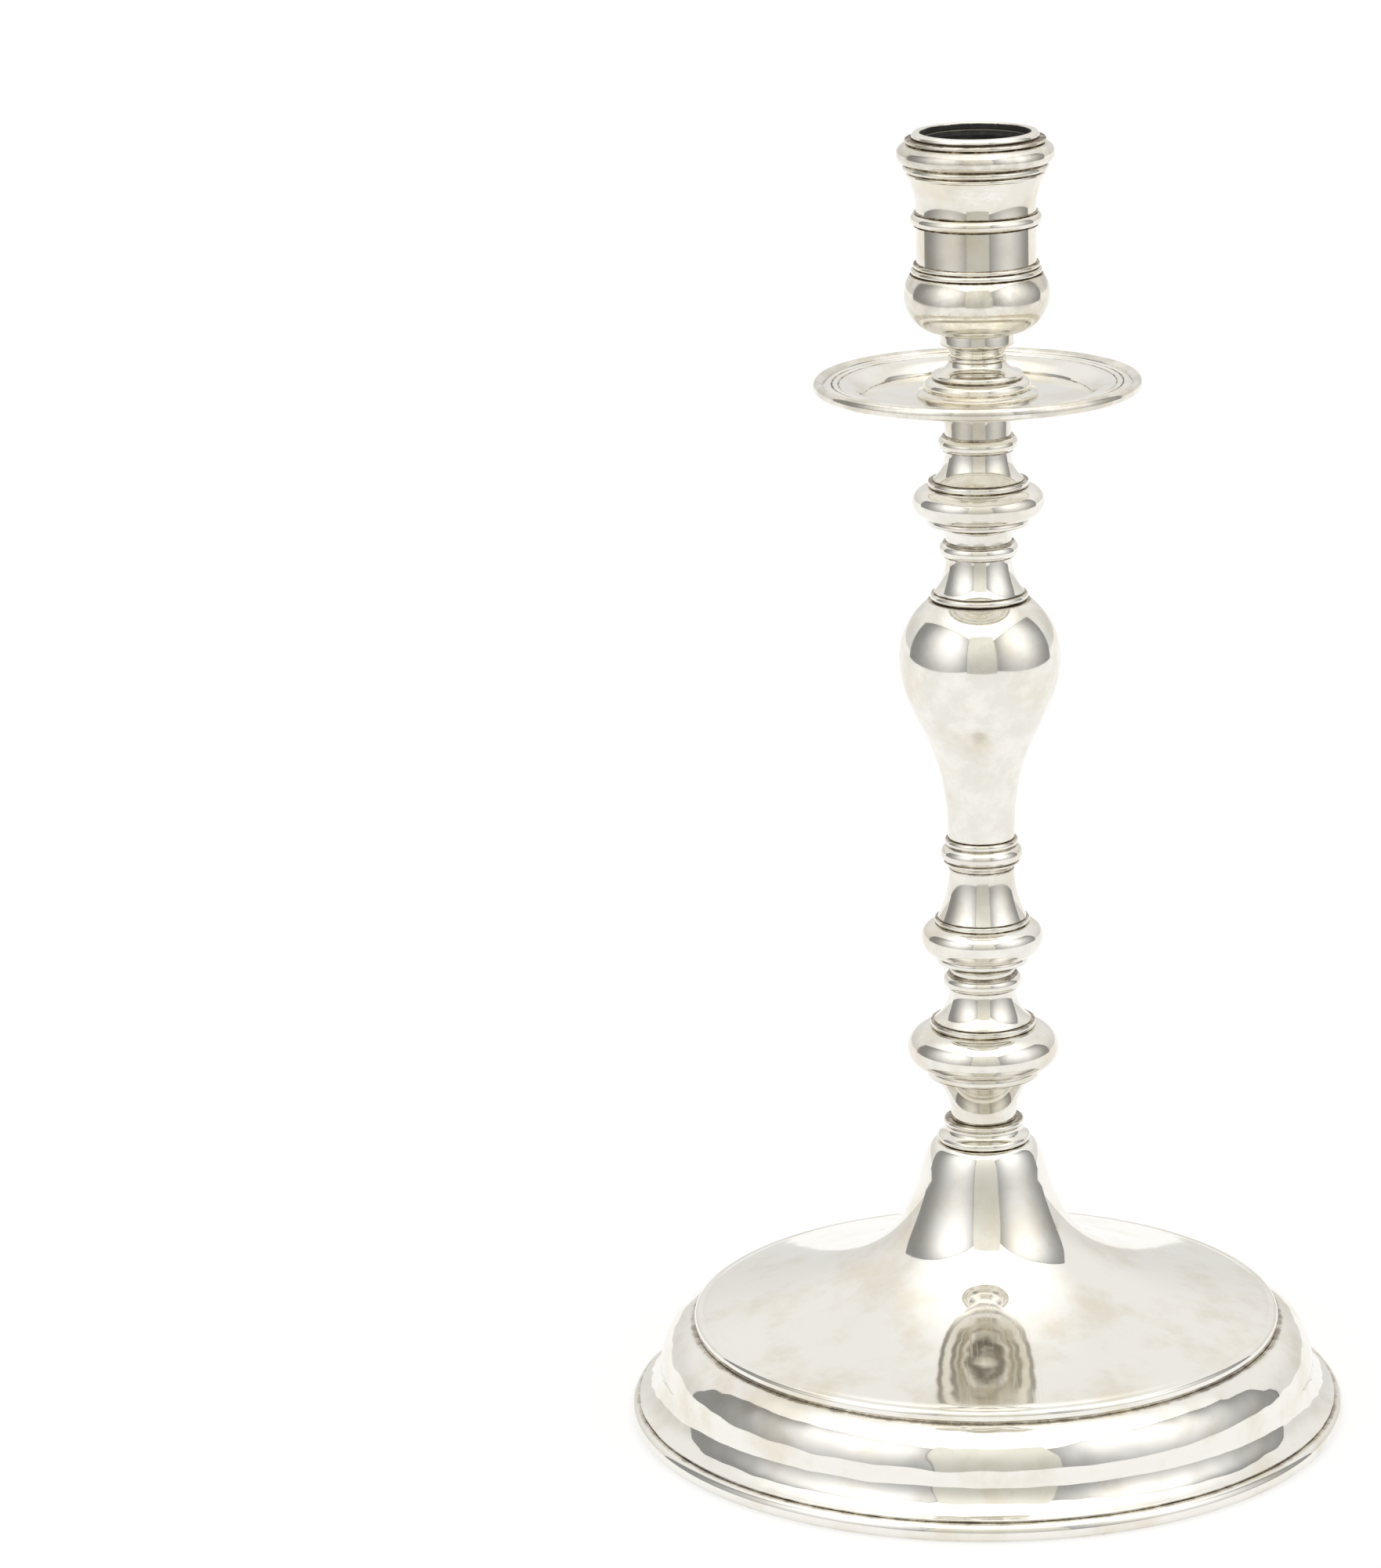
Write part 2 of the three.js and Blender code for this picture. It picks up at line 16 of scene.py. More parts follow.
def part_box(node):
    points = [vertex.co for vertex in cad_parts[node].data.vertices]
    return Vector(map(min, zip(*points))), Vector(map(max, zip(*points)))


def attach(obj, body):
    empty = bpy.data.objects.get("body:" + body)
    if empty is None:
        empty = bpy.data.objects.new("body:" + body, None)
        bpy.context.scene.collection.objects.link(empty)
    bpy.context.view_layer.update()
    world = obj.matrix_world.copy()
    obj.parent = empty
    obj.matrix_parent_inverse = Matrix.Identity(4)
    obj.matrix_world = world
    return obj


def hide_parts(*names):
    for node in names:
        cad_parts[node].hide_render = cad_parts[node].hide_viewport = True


bl_info = {
    "name": "Silver Candlestick",
    "version": (1, 0, 0),
    "blender": (4, 5, 0),
    "location": "3D View > Sidebar > Candlestick",
    "description": "Makes a turned silver candlestick and the studio round it",
    "category": "Add Mesh",
}

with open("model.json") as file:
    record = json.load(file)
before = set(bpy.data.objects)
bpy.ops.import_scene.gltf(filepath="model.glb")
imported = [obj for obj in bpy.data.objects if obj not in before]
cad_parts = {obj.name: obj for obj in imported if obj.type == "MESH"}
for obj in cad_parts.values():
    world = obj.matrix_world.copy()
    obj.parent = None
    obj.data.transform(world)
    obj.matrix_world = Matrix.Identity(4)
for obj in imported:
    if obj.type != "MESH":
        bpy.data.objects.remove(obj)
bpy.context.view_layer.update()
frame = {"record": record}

MM = 0.001
STEP = 0.35  # longest stretch of a curved outline
FLAT_STEP = 0.9  # longest stretch of a straight one
JOIN = 0.11  # how far a piece reaches over the gap to its neighbour
SOFT = 0.14  # radius of a polished edge
SHARP = 0.3  # least turn of an outline that counts as a sharp corner, in radians
GROOVE_REACH = 0.45  # how far tarnish spreads from a groove
FULL_GROOVE = 1.3  # inward turn of an outline that fills with tarnish, in radians
TINY = 1e-6
GROOVE = "groove"
THREAD = "thread"
FULL_TURN = 2 * math.pi

ScrewThread = namedtuple("ScrewThread", "root low high pitch depth")
NO_THREAD = ScrewThread(root=0.0, low=0.0, high=0.0, pitch=2.0, depth=0.0)


# ---------- outlines ----------


def place(node, below=JOIN, above=JOIN):
    """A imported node's radius, and its lowest and highest height, reached out to meet its neighbours."""
    low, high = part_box(node)
    return high.x / MM, low.z / MM - below, high.z / MM + above


def bow(start, end, rise, step=STEP):
    """The circular arc between two points. A positive rise bows it to the right of its travel."""
    (r0, z0), (r1, z1) = start, end
    chord = math.hypot(r1 - r0, z1 - z0)
    half = 2 * math.atan(2 * abs(rise) / chord)
    steps = max(3, math.ceil(chord * half / math.sin(half) / step))
    points = []
    for i in range(steps + 1):
        angle = half * (2 * i / steps - 1)
        along = 0.5 + math.sin(angle) / (2 * math.sin(half))
        out = math.copysign(math.cos(angle) - math.cos(half), rise) / (2 * math.sin(half))
        r = r0 + (r1 - r0) * along + (z1 - z0) * out
        z = z0 + (z1 - z0) * along - (r1 - r0) * out
        points.append((r, z))
    return points


def ellipse(centre, wide, high, start, end, step=STEP):
    """The part of an upright ellipse between two angles, in degrees from the outward horizontal."""
    steps = max(4, math.ceil(math.radians(abs(end - start)) * max(wide, high) / step))
    turns = [math.radians(start + (end - start) * i / steps) for i in range(steps + 1)]
    return [(centre[0] + wide * math.cos(t), centre[1] + high * math.sin(t)) for t in turns]


def sweep(p0, p1, p2, p3, steps):
    """A cubic curve from p0 to p3, pulled by p1 and p2."""
    points = []
    for i in range(steps + 1):
        t = i / steps
        shares = ((1 - t) ** 3, 3 * t * (1 - t) ** 2, 3 * t * t * (1 - t), t**3)
        pulls = list(zip(shares, (p0, p1, p2, p3)))
        points.append(tuple(sum(share * p[axis] for share, p in pulls) for axis in (0, 1)))
    return points


def wall(face, thickness):
    """A sheet's closed outline: its outer face, and the same face moved in by its thickness."""
    inner = []
    for i, (r, z) in enumerate(face):
        (ra, za), (rb, zb) = face[max(i - 1, 0)], face[min(i + 1, len(face) - 1)]
        share = thickness / math.hypot(rb - ra, zb - za)
        inner.append((max(r - share * (zb - za), 0), z + share * (rb - ra)))
    return face + inner[::-1]


def bored(face, radius):
    """A face closed by a straight bore."""
    return face + [(radius, face[-1][1]), (radius, face[0][1])]


def ring(radius, low, high, swell):
    """A half-round ring's face, between two heights."""
    return bow((radius - swell, low), (radius - swell, high), swell, STEP / 2)


def soften(outline, radius=SOFT):
    """Rounds each sharp corner of a closed outline, as polishing does."""
    most_turn, most_share = 2.6, 0.45
    soft = []
    for i, point in enumerate(outline):
        corner = Vector(point)
        before = Vector(outline[i - 1]) - corner
        after = Vector(outline[(i + 1) % len(outline)]) - corner
        shorter = min(before.length, after.length)
        if shorter < TINY:
            continue
        turn = math.pi - before.angle(after)
        if turn < SHARP or corner.x < TINY:
            soft.append(point)
            continue
        reach = min(radius * math.tan(min(turn, most_turn) / 2), shorter * most_share)
        start = corner + before.normalized() * reach
        end = corner + after.normalized() * reach
        for t in (0, 0.25, 0.5, 0.75, 1):
            soft.append(tuple(start * (1 - t) ** 2 + corner * 2 * t * (1 - t) + end * t * t))
    return soft


def refine(outline, step):
    """Cuts long straight stretches of a closed outline into short ones."""
    fine = []
    for (r0, z0), (r1, z1) in zip(outline, outline[1:] + outline[:1]):
        parts = max(1, math.ceil(math.hypot(r1 - r0, z1 - z0) / step))
        fine += [(r0 + (r1 - r0) * i / parts, z0 + (z1 - z0) * i / parts) for i in range(parts)]
    return fine


def groove_depth(outline, seams):
    """How deep in a groove each point lies, from 0 to 1: at inward turns, and beside a seam."""
    least_turn = 0.02
    points = np.array(outline)
    leg = np.roll(points, -1, 0) - points
    heading = np.arctan2(leg[:, 1], leg[:, 0])
    turn = (heading - np.roll(heading, 1) + math.pi) % FULL_TURN - math.pi
    hollow = np.where(turn < -least_turn, -turn, 0)
    far = np.linalg.norm(points[:, None] - points[None], axis=2)
    depth = (np.clip(1 - far / GROOVE_REACH, 0, 1) * hollow[None]).sum(1) / FULL_GROOVE
    for seam in seams:
        depth = np.maximum(depth, 1 - np.abs(points[:, 1] - seam) / GROOVE_REACH)
    return np.clip(depth, 0, 1)


# ---------- node trees ----------


class Wire:
    """A value in a node tree. Arithmetic on it adds Math nodes."""

    def __init__(self, graph, socket):
        self.graph = graph
        self.socket = socket

    def __add__(self, other):
        return self.graph.maths("ADD", self, other)

    def __sub__(self, other):
        return self.graph.maths("SUBTRACT", self, other)

    def __rsub__(self, other):
        return self.graph.maths("SUBTRACT", other, self)

    def __mul__(self, other):
        return self.graph.maths("MULTIPLY", self, other)

    def __truediv__(self, other):
        return self.graph.maths("DIVIDE", self, other)

    def __mod__(self, other):
        return self.graph.maths("FLOORED_MODULO", self, other)

    def __pow__(self, other):
        return self.graph.maths("POWER", self, other)

    __radd__ = __add__
    __rmul__ = __mul__


class Graph:
    """A node tree that is written as expressions."""

    def __init__(self, tree):
        self.tree = tree

    def node(self, kind, settings=None, inputs=None, output=0):
        """Adds a node: its settings, then its inputs by name or place. Gives one of its outputs."""
        node = self.tree.nodes.new(kind)
        for name, value in (settings or {}).items():
            setattr(node, name, value)
        for name, value in (inputs or {}).items():
            socket = self.socket(node.inputs, name)
            if isinstance(value, Wire):
                self.tree.links.new(value.socket, socket)
            else:
                socket.default_value = value
        if node.outputs:
            return Wire(self, self.socket(node.outputs, output))
        return None

    @staticmethod
    def socket(sockets, name):
        """A socket by its place, or the one in use by its name."""
        if isinstance(name, int):
            return sockets[name]
        return next(s for s in sockets if s.name == name and s.enabled)

    def maths(self, operation, *values):
        return self.node("ShaderNodeMath", {"operation": operation}, dict(enumerate(values)))

    def vectors(self, operation, *values, output=0):
        inputs = dict(enumerate(values))
        return self.node("ShaderNodeVectorMath", {"operation": operation}, inputs, output)

    def along(self, axis, vector):
        return self.node("ShaderNodeSeparateXYZ", {}, {0: vector}, axis)
    def between(self, value, low, high, start=0.0, end=1.0):
        """Runs smoothly from start to end as the value goes from low to high."""
        settings = {"interpolation_type": "SMOOTHSTEP"}
        limits = {"Value": value, "From Min": low, "From Max": high, "To Min": start, "To Max": end}
        return self.node("ShaderNodeMapRange", settings, limits, "Result")

    def blend(self, share, first, second):
        """Mixes two colours."""
        return self.node("ShaderNodeMix", {"data_type": "RGBA"}, {0: share, 6: first, 7: second}, 2)

    def tinted(self, level, tint):
        """A brightness with a slight colour cast."""
        shares = {channel: level * share for channel, share in enumerate(tint)}
        return self.node("ShaderNodeCombineColor", {}, shares)

    def noise(self, vector, scale, detail=3.0, roughness=0.5):
        values = {"Vector": vector, "Scale": scale, "Detail": detail, "Roughness": roughness}
        return self.node("ShaderNodeTexNoise", {}, values)


def turned_work_tree():
    """Turns an outline round the Z axis, cuts any screw thread or flats, and adds a slight ripple."""
    tree = bpy.data.node_groups.new("Turned work", "GeometryNodeTree")
    kinds = {
        "Outline": "Geometry",
        "Sides": "Int",
        "Ripple": "Float",
        "Ripple scale": "Float",
        "Seed": "Float",
        "Thread pitch": "Float",
        "Thread depth": "Float",
        "Across flats": "Float",
        "Material": "Material",
    }
    for name, kind in kinds.items():
        tree.interface.new_socket(name, in_out="INPUT", socket_type="NodeSocket" + kind)
    tree.interface.new_socket("Piece", in_out="OUTPUT", socket_type="NodeSocketGeometry")
    g = Graph(tree)
    given = tree.nodes.new("NodeGroupInput")
    outline, sides, ripple, ripple_scale, seed, pitch, depth, flats, material = (
        Wire(g, given.outputs[name]) for name in kinds
    )

    def sampled(kind, value):
        settings = {"data_type": kind, "domain": "POINT"}
        inputs = {"Geometry": outline, "Value": value, "Index": source}
        return g.node("GeometryNodeSampleIndex", settings, inputs)

    def named(name):
        settings = {"data_type": "FLOAT"}
        return g.node("GeometryNodeInputNamedAttribute", settings, {"Name": name}, "Attribute")

    count = g.node("GeometryNodeAttributeDomainSize", {}, {"Geometry": outline}, "Point Count")
    corners = {"Vertices X": sides + 1, "Vertices Y": count + 1}
    grid = g.node("GeometryNodeMeshGrid", {}, corners, "Mesh")
    index = g.node("GeometryNodeInputIndex")
    column = g.maths("FLOOR", (index + 0.5) / (count + 1))
    source = (index - column * (count + 1)) % count
    spot = sampled("FLOAT_VECTOR", g.node("GeometryNodeInputPosition"))
    radius = g.along("X", spot)
    height = g.along("Z", spot)
    turn = column / sides
    angle = turn * FULL_TURN

    ridge = g.maths("ABSOLUTE", (height / pitch - turn) % 1.0 * 2 - 1)
    cut = sampled("FLOAT", named(THREAD)) * ridge * depth
    half_flat = FULL_TURN / 12
    flat_reach = flats / 2 / g.maths("COSINE", angle % (2 * half_flat) - half_flat)
    shown = g.maths("MINIMUM", radius - cut, flat_reach)
    xyz = {"X": shown * g.maths("COSINE", angle), "Y": shown * g.maths("SINE", angle), "Z": height}
    point = g.node("ShaderNodeCombineXYZ", {}, xyz)

    body = g.node("GeometryNodeSetPosition", {}, {"Geometry": grid, "Position": point})
    stored = {"Geometry": body, "Name": GROOVE, "Value": sampled("FLOAT", named(GROOVE))}
    body = g.node("GeometryNodeStoreNamedAttribute", {"data_type": "FLOAT", "domain": "POINT"}, stored)
    body = g.node("GeometryNodeMergeByDistance", {}, {"Geometry": body, "Distance": 2e-6})
    where = g.node("GeometryNodeInputPosition")
    wave = {"Vector": where, "W": seed, "Scale": ripple_scale, "Detail": 1.5}
    wave = (g.node("ShaderNodeTexNoise", {"noise_dimensions": "4D"}, wave) - 0.5) * 2 * ripple
    outward = {0: g.node("GeometryNodeInputNormal"), "Scale": wave}
    shift = g.node("ShaderNodeVectorMath", {"operation": "SCALE"}, outward)
    body = g.node("GeometryNodeSetPosition", {}, {"Geometry": body, "Offset": shift})
    body = g.node("GeometryNodeSetShadeSmooth", {}, {0: body})
    body = g.node("GeometryNodeRealizeInstances", {}, {0: body})
    body = g.node("GeometryNodeSetMaterial", {}, {"Geometry": body, "Material": material})
    end = tree.nodes.new("NodeGroupOutput")
    tree.links.new(body.socket, end.inputs[0])
    return tree


def turned(
    node,
    outline,
    material,
    seams=(),
    *,
    sides=144,
    ripple=0.006,
    ripple_scale=120.0,
    soft=SOFT,
    thread=NO_THREAD,
    across_flats=1000.0,
):
    """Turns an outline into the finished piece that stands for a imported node."""
    outline = refine(soften(outline, soft), FLAT_STEP)
    name = node + "_turned"
    mesh = bpy.data.meshes.new(name + "_outline")
    mesh.from_pydata([(r * MM, 0, z * MM) for r, z in outline], [], [])
    cut = [float(r > thread.root and thread.low < z < thread.high) for r, z in outline]
    for attribute, values in ((GROOVE, groove_depth(outline, seams)), (THREAD, cut)):
        mesh.attributes.new(attribute, "FLOAT", "POINT").data.foreach_set("value", values)

    piece = bpy.data.objects.new(name, mesh)
    bpy.context.scene.collection.objects.link(piece)
    tree = bpy.data.node_groups.get("Turned work") or turned_work_tree()
    modifier = piece.modifiers.new("Turned work", "NODES")
    modifier.node_group = tree
    values = {
        "Sides": sides,
        "Ripple": ripple * MM,
        "Ripple scale": ripple_scale,
        "Seed": float(sum(map(ord, node)) % 97),
        "Thread pitch": thread.pitch * MM,
        "Thread depth": thread.depth * MM,
        "Across flats": across_flats * MM,
        "Material": material,
    }
    for item in tree.interface.items_tree:
        if item.in_out == "INPUT" and item.name in values:
            modifier[item.identifier] = values[item.name]
    shaped = piece.evaluated_get(bpy.context.evaluated_depsgraph_get())
    finished = bpy.data.meshes.new_from_object(shaped)
    piece.modifiers.clear()
    piece.data = finished
    finished.name = name
    finished.set_sharp_from_angle(angle=math.radians(40))
    bpy.data.meshes.remove(mesh)

    body = next(b for b, members in frame["record"]["behaviour"]["bodies"].items() if node in members)
    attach(piece, body)
    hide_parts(node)


# ---------- finishes ----------

SILVERS = {
    "raised silver": {"warmth": 0.02, "haze": 0.35, "tarnish": 0.85, "wear": 0.6, "dull": 0.0},
    "cast silver": {"warmth": 0.06, "haze": 0.3, "tarnish": 1.0, "wear": 0.5, "dull": 0.3},
    "vase silver": {"warmth": 0.04, "haze": 0.6, "tarnish": 0.9, "wear": 1.0, "dull": 0.3},
    "pan silver": {"warmth": 0.02, "haze": 0.6, "tarnish": 1.4, "wear": 1.0, "dull": 0.0},
    "socket silver": {"warmth": 0.3, "haze": 0.5, "tarnish": 1.3, "wear": 1.0, "dull": 0.2},
    "worn silver": {"warmth": 0.2, "haze": 1.2, "tarnish": 1.4, "wear": 1.0, "dull": 0.75},
}


def new_surface(name):
    """An empty material, its graph, and the place on a piece that its patterns follow."""
    material = bpy.data.materials.new(name)
    material.use_nodes = True
    material.node_tree.nodes.clear()
    g = Graph(material.node_tree)
    return material, g, g.node("ShaderNodeTexCoord", output="Object")


def show(g, shader, kind="Material"):
    g.node("ShaderNodeOutput" + kind, {}, {"Surface": shader})


def show_metal(g, colour, roughness, metallic, relief):
    """Ends a material as metal. The relief is in metres."""
    bump = {"Strength": 1.0, "Distance": 1.0, "Height": relief}
    normal = g.node("ShaderNodeBump", {}, bump, "Normal")
    values = {"Base Color": colour, "Roughness": roughness, "Metallic": metallic, "Normal": normal}
    show(g, g.node("ShaderNodeBsdfPrincipled", {}, values, "BSDF"))


def groove_mask(g):
    return g.node("ShaderNodeAttribute", {"attribute_name": GROOVE}, output="Fac")


def stretched_noise(g, spot, turn, scale, *texture):
    """Noise drawn out along one direction."""
    mapping = {"Vector": spot, "Rotation": turn, "Scale": scale}
    return g.noise(g.node("ShaderNodeMapping", {}, mapping), 1.0, *texture)


def scratches(g, spot, turn, across, edge):
    """Fine straight scratches that run one way over a piece."""
    return g.between(stretched_noise(g, spot, turn, (across, 40, 40), 2.0), edge, edge + 0.05)


def rubbed_patch(g, spot, middle, reach):
    """Where the front of a piece is rubbed white with short slanting strokes, from 0 to 1."""
    away = g.vectors("DIVIDE", g.vectors("SUBTRACT", spot, middle), reach)
    distance = g.vectors("LENGTH", away, output="Value")
    ragged = distance + (g.noise(spot, 420.0, 4.0, 0.7) - 0.5) * 1.6
    strokes = stretched_noise(g, spot, (0, 0.5, 0), (300, 300, 1300), 3.0, 0.6)
    return g.between(ragged, 1.1, 0.5) * g.between(strokes, 0.42, 0.6)


def silver(name, look, rubbed=None):
    """Polished silver: slight waves, fine scratches, a thin warm film, and tarnish in its grooves."""
    made = bpy.data.materials.get(name)
    if made:
        return made
    finish = SILVERS[name]
    tarnish, wear = finish["tarnish"], finish["wear"]
    material, g, spot = new_surface(name)
    groove = groove_mask(g)

    cloud = g.noise(spot, 70.0, 4.0, 0.6)
    speck = g.noise(spot, 900.0, 3.0, 0.7)
    grime = g.between(groove + (g.noise(spot, 330.0, 4.0, 0.7) - 0.5) * 1.5, 0.55, 1.25) * tarnish
    stain = g.between(groove + (g.noise(spot, 120.0, 3.0, 0.6) - 0.5) * 1.2, 0.2, 1.0) * tarnish
    film = g.maths("MINIMUM", g.between(cloud, 0.44, 0.68) * 0.55 + finish["warmth"], 1.0)
    marks = g.maths(
        "MAXIMUM",
        scratches(g, spot, (0.3, 0.9, 0.2), 2600.0, 0.66),
        scratches(g, spot, (1.1, -0.5, 0.8), 3100.0, 0.67),
    )
    blotch = g.between(g.noise(spot, 190.0, 5.0, 0.7) * 0.6 + cloud * 0.4, 0.56, 0.66) * wear
    cast = g.between(g.noise(spot, 150.0, 5.0, 0.65), 0.35, 0.62) * finish["dull"]

    colour = (*look.colour, 1)
    layers = (
        (film, look.film_colour),
        (blotch * 0.45, look.film_colour),
        (cast, look.dull_colour),
        (stain * 0.55, look.stain_colour),
        (grime * 0.9, look.tarnish_colour),
    )
    for share, over in layers:
        colour = g.blend(share, colour, (*over, 1))
    roughness = look.roughness + finish["haze"] * 0.05 * g.between(cloud, 0.35, 0.7) + blotch * 0.07
    roughness = roughness + marks * 0.08 * wear + stain * 0.08 + grime * 0.25 + (speck - 0.5) * 0.02
    roughness = roughness + cast * 0.1
    relief = (g.noise(spot, 240.0, 2.0) - 0.5) * 6e-6 - marks * 1.5e-6 * wear + (speck - 0.5) * 6e-7
    relief = relief - grime * speck * 6e-5
    if rubbed:
        patch = rubbed_patch(g, spot, *rubbed)
        colour = g.blend(patch * 0.8, colour, (*look.rubbed_colour, 1))
        roughness = roughness + patch * 0.3
    show_metal(g, colour, roughness, 1.0, relief)
    return material


def sooted_silver(look, bore):
    """The liner: polished lip and outside, and candle soot inside from just under its lip."""
    material, g, spot = new_surface("sooted silver")
    height = g.along("Z", spot)
    radius = g.vectors("LENGTH", g.vectors("MULTIPLY", spot, (1, 1, 0)), output="Value")
    top = place("socket_liner", 0, 0)[2]
    ragged = g.noise(spot, 420.0, 5.0, 0.7)
    narrow, wide = (bore + 0.5) * MM, (liner_mouth() + 0.5) * MM
    limit = g.between(height, (top - 1.5) * MM, (top - 1.4) * MM, narrow, wide)
    inside = g.between(radius - limit, 0.05 * MM, -0.05 * MM)
    deep = g.between(height + (ragged - 0.5) * 0.5 * MM, (top - 0.1) * MM, (top - 0.45) * MM)
    soot = inside * deep
    grime = g.between(groove_mask(g) + (g.noise(spot, 300.0, 4.0, 0.65) - 0.5) * 0.9, 0.35, 0.8)
    grain = g.noise(spot, 1500.0, 3.0, 0.7)
    colour = g.blend(g.noise(spot, 70.0, 4.0) * 0.5, (*look.colour, 1), (*look.film_colour, 1))
    colour = g.blend(grime * 0.9, colour, (*look.tarnish_colour, 1))
    black = g.blend(g.between(ragged, 0.4, 0.7), (0.008, 0.007, 0.006, 1), (0.03, 0.026, 0.022, 1))
    colour = g.blend(soot, colour, black)
    roughness = g.maths("MINIMUM", look.roughness + soot * 0.62 + grime * 0.3 + grain * 0.06, 1.0)
    relief = (g.noise(spot, 260.0, 2.0) - 0.5) * 8e-6 + soot * grain * 4e-5
    show_metal(g, colour, roughness, 1 - soot * 0.9, relief)
    return material


def plain_metal(name, colour, stain, polish):
    """The hidden ironwork and brass, dull and stained."""
    made = bpy.data.materials.get(name)
    if made:
        return made
    material, g, spot = new_surface(name)
    patches = g.noise(spot, 260.0, 5.0, 0.7)
    grain = g.noise(spot, 1800.0, 3.0, 0.7)
    stained = g.between(patches, 0.48, 0.68)
    colour = g.blend(stained, (*colour, 1), (*stain, 1))
    roughness = polish + stained * 0.3 + (grain - 0.5) * 0.1
    show_metal(g, colour, roughness, 1 - stained * 0.6, patches * 3e-5 + grain * 1.2e-5)
    return material


def iron():
    return plain_metal("screw iron", (0.33, 0.31, 0.29), (0.2, 0.1, 0.055), 0.38)


def brass():
    return plain_metal("bush brass", (0.66, 0.5, 0.26), (0.3, 0.2, 0.1), 0.3)


# ---------- settings ----------


def colour_setting(name, description, default):
    return bpy.props.FloatVectorProperty(
        name=name, description=description, default=default, subtype="COLOR", min=0, max=1
    )


def size_setting(name, description, default, **limits):
    return bpy.props.FloatProperty(
        name=name, description=description, default=default, precision=3, **limits
    )


class SilverLook(bpy.types.PropertyGroup):
    """The silver's colours and polish."""

    colour: colour_setting("Silver", "Colour of clean polished silver", (0.9, 0.885, 0.84))
    film_colour: colour_setting("Film", "Colour where a thin warm film has formed", (0.76, 0.7, 0.57))
    dull_colour: colour_setting("Dull", "Colour where it has gone grey and dull", (0.6, 0.57, 0.5))
    stain_colour: colour_setting("Stain", "Colour of the stain round the grooves", (0.62, 0.55, 0.42))
    tarnish_colour: colour_setting("Tarnish", "Colour of tarnish in the grooves", (0.16, 0.125, 0.09))
    rubbed_colour: colour_setting("Rubbed", "Colour of the rubbed patch", (0.95, 0.94, 0.91))
    roughness: size_setting("Roughness", "Roughness of the polished silver", 0.05, min=0.0, max=1.0)


class FootSizes(bpy.types.PropertyGroup):
    """Shape of the foot, in millimetres."""

    sheet: size_setting("Sheet", "Thickness of the raised sheet, in mm", 1.4, min=0.5, max=3)
    cove_bow: size_setting("Cove", "How deep the border's hollow is, in mm", 1.5, min=0, max=4)
    round_bow: size_setting("Round", "How full the border's round is, in mm", 1.9, min=0, max=4)
    slope: size_setting("Slope", "Fall of the dish at its edge, as a tangent", 0.19, min=0, max=0.5)
    pole: size_setting("Pole", "Radius that the trumpet climbs towards, in mm", 7.2, min=5, max=10)
    trumpet: size_setting("Trumpet", "Radius of the trumpet's neck, in mm", 13.0, min=9, max=20)
    rings: size_setting("Rings", "Depth of the raiser's rings, in mm", 0.001, min=0, max=0.1)
    ring_pitch: size_setting("Ring pitch", "Distance between those rings, in mm", 5.4, min=1, max=20)


class StemSizes(bpy.types.PropertyGroup):
    """Shape of the stem, in millimetres."""

    neck: size_setting("Neck", "Radius of the stem between its knops, in mm", 7.1, min=4, max=12)
    bore: size_setting("Bore", "Radius of the way through the castings, in mm", 5.3, min=3, max=8)
    casting: size_setting("Casting", "Wall of the hollow castings, in mm", 1.7, min=0.8, max=3)
    belly_height: size_setting("Belly", "Height of the vase's widest place over its foot, in mm", 40.3)
    foot_pull: size_setting("Foot pull", "How far the vase's foot holds its flank, in mm", 24.3)
    belly_pull: size_setting("Belly pull", "How far the vase's belly holds its flank, in mm", 14.4)
    shoulder_reach: size_setting("Shoulder", "Half height of the vase shoulder's ellipse, in mm", 16.0)


class SocketSizes(bpy.types.PropertyGroup):
    """Shape of the drip pan and the socket, in millimetres."""

    sheet: size_setting("Sheet", "Thickness of the pan, in mm", 1.0, min=0.5, max=2)
    well: size_setting("Well", "Radius of the pan's flat middle, in mm", 24.5, min=15, max=30)
    tube: size_setting("Tube", "Radius of the socket's tube, in mm", 12.7, min=8, max=16)
    tube_wall: size_setting("Tube wall", "Wall of the socket's tube, in mm", 0.8, min=0.4, max=2)
    candle: size_setting("Candle", "Radius of the liner's bore, in mm", 10.9, min=8, max=14)
    screw_hole: size_setting("Screw hole", "Radius of the screw's hole, in mm", 3.5, min=2, max=5)


class StudioSettings(bpy.types.PropertyGroup):
    """The camera and the light round the candlestick."""

    lens: size_setting("Lens", "Focal length on a 36 mm frame", 129.6, min=20, max=300)
    camera_place: bpy.props.FloatVectorProperty(
        name="Camera",
        description="Where the camera stands",
        default=(-0.0626, -1.1738, 0.4641),
        subtype="XYZ",
    )
    camera_pitch: size_setting(
        "Pitch", "How far the camera looks down", math.radians(15.232), subtype="ANGLE"
    )
    camera_roll: size_setting("Roll", "How far the camera leans", math.radians(-1.3), subtype="ANGLE")
    scrim_distance: size_setting("Scrim distance", "From the stem to each scrim", 0.75, unit="LENGTH")
    scrim_height: size_setting("Scrim height", "Top edge of the scrims", 1.03, unit="LENGTH")
    room_light: size_setting("Room light", "Brightness of the room", 0.93, min=0, max=4)
    top_light: size_setting("Top light", "Brightness overhead", 1.5, min=0, max=8)


# ---------- foot ----------


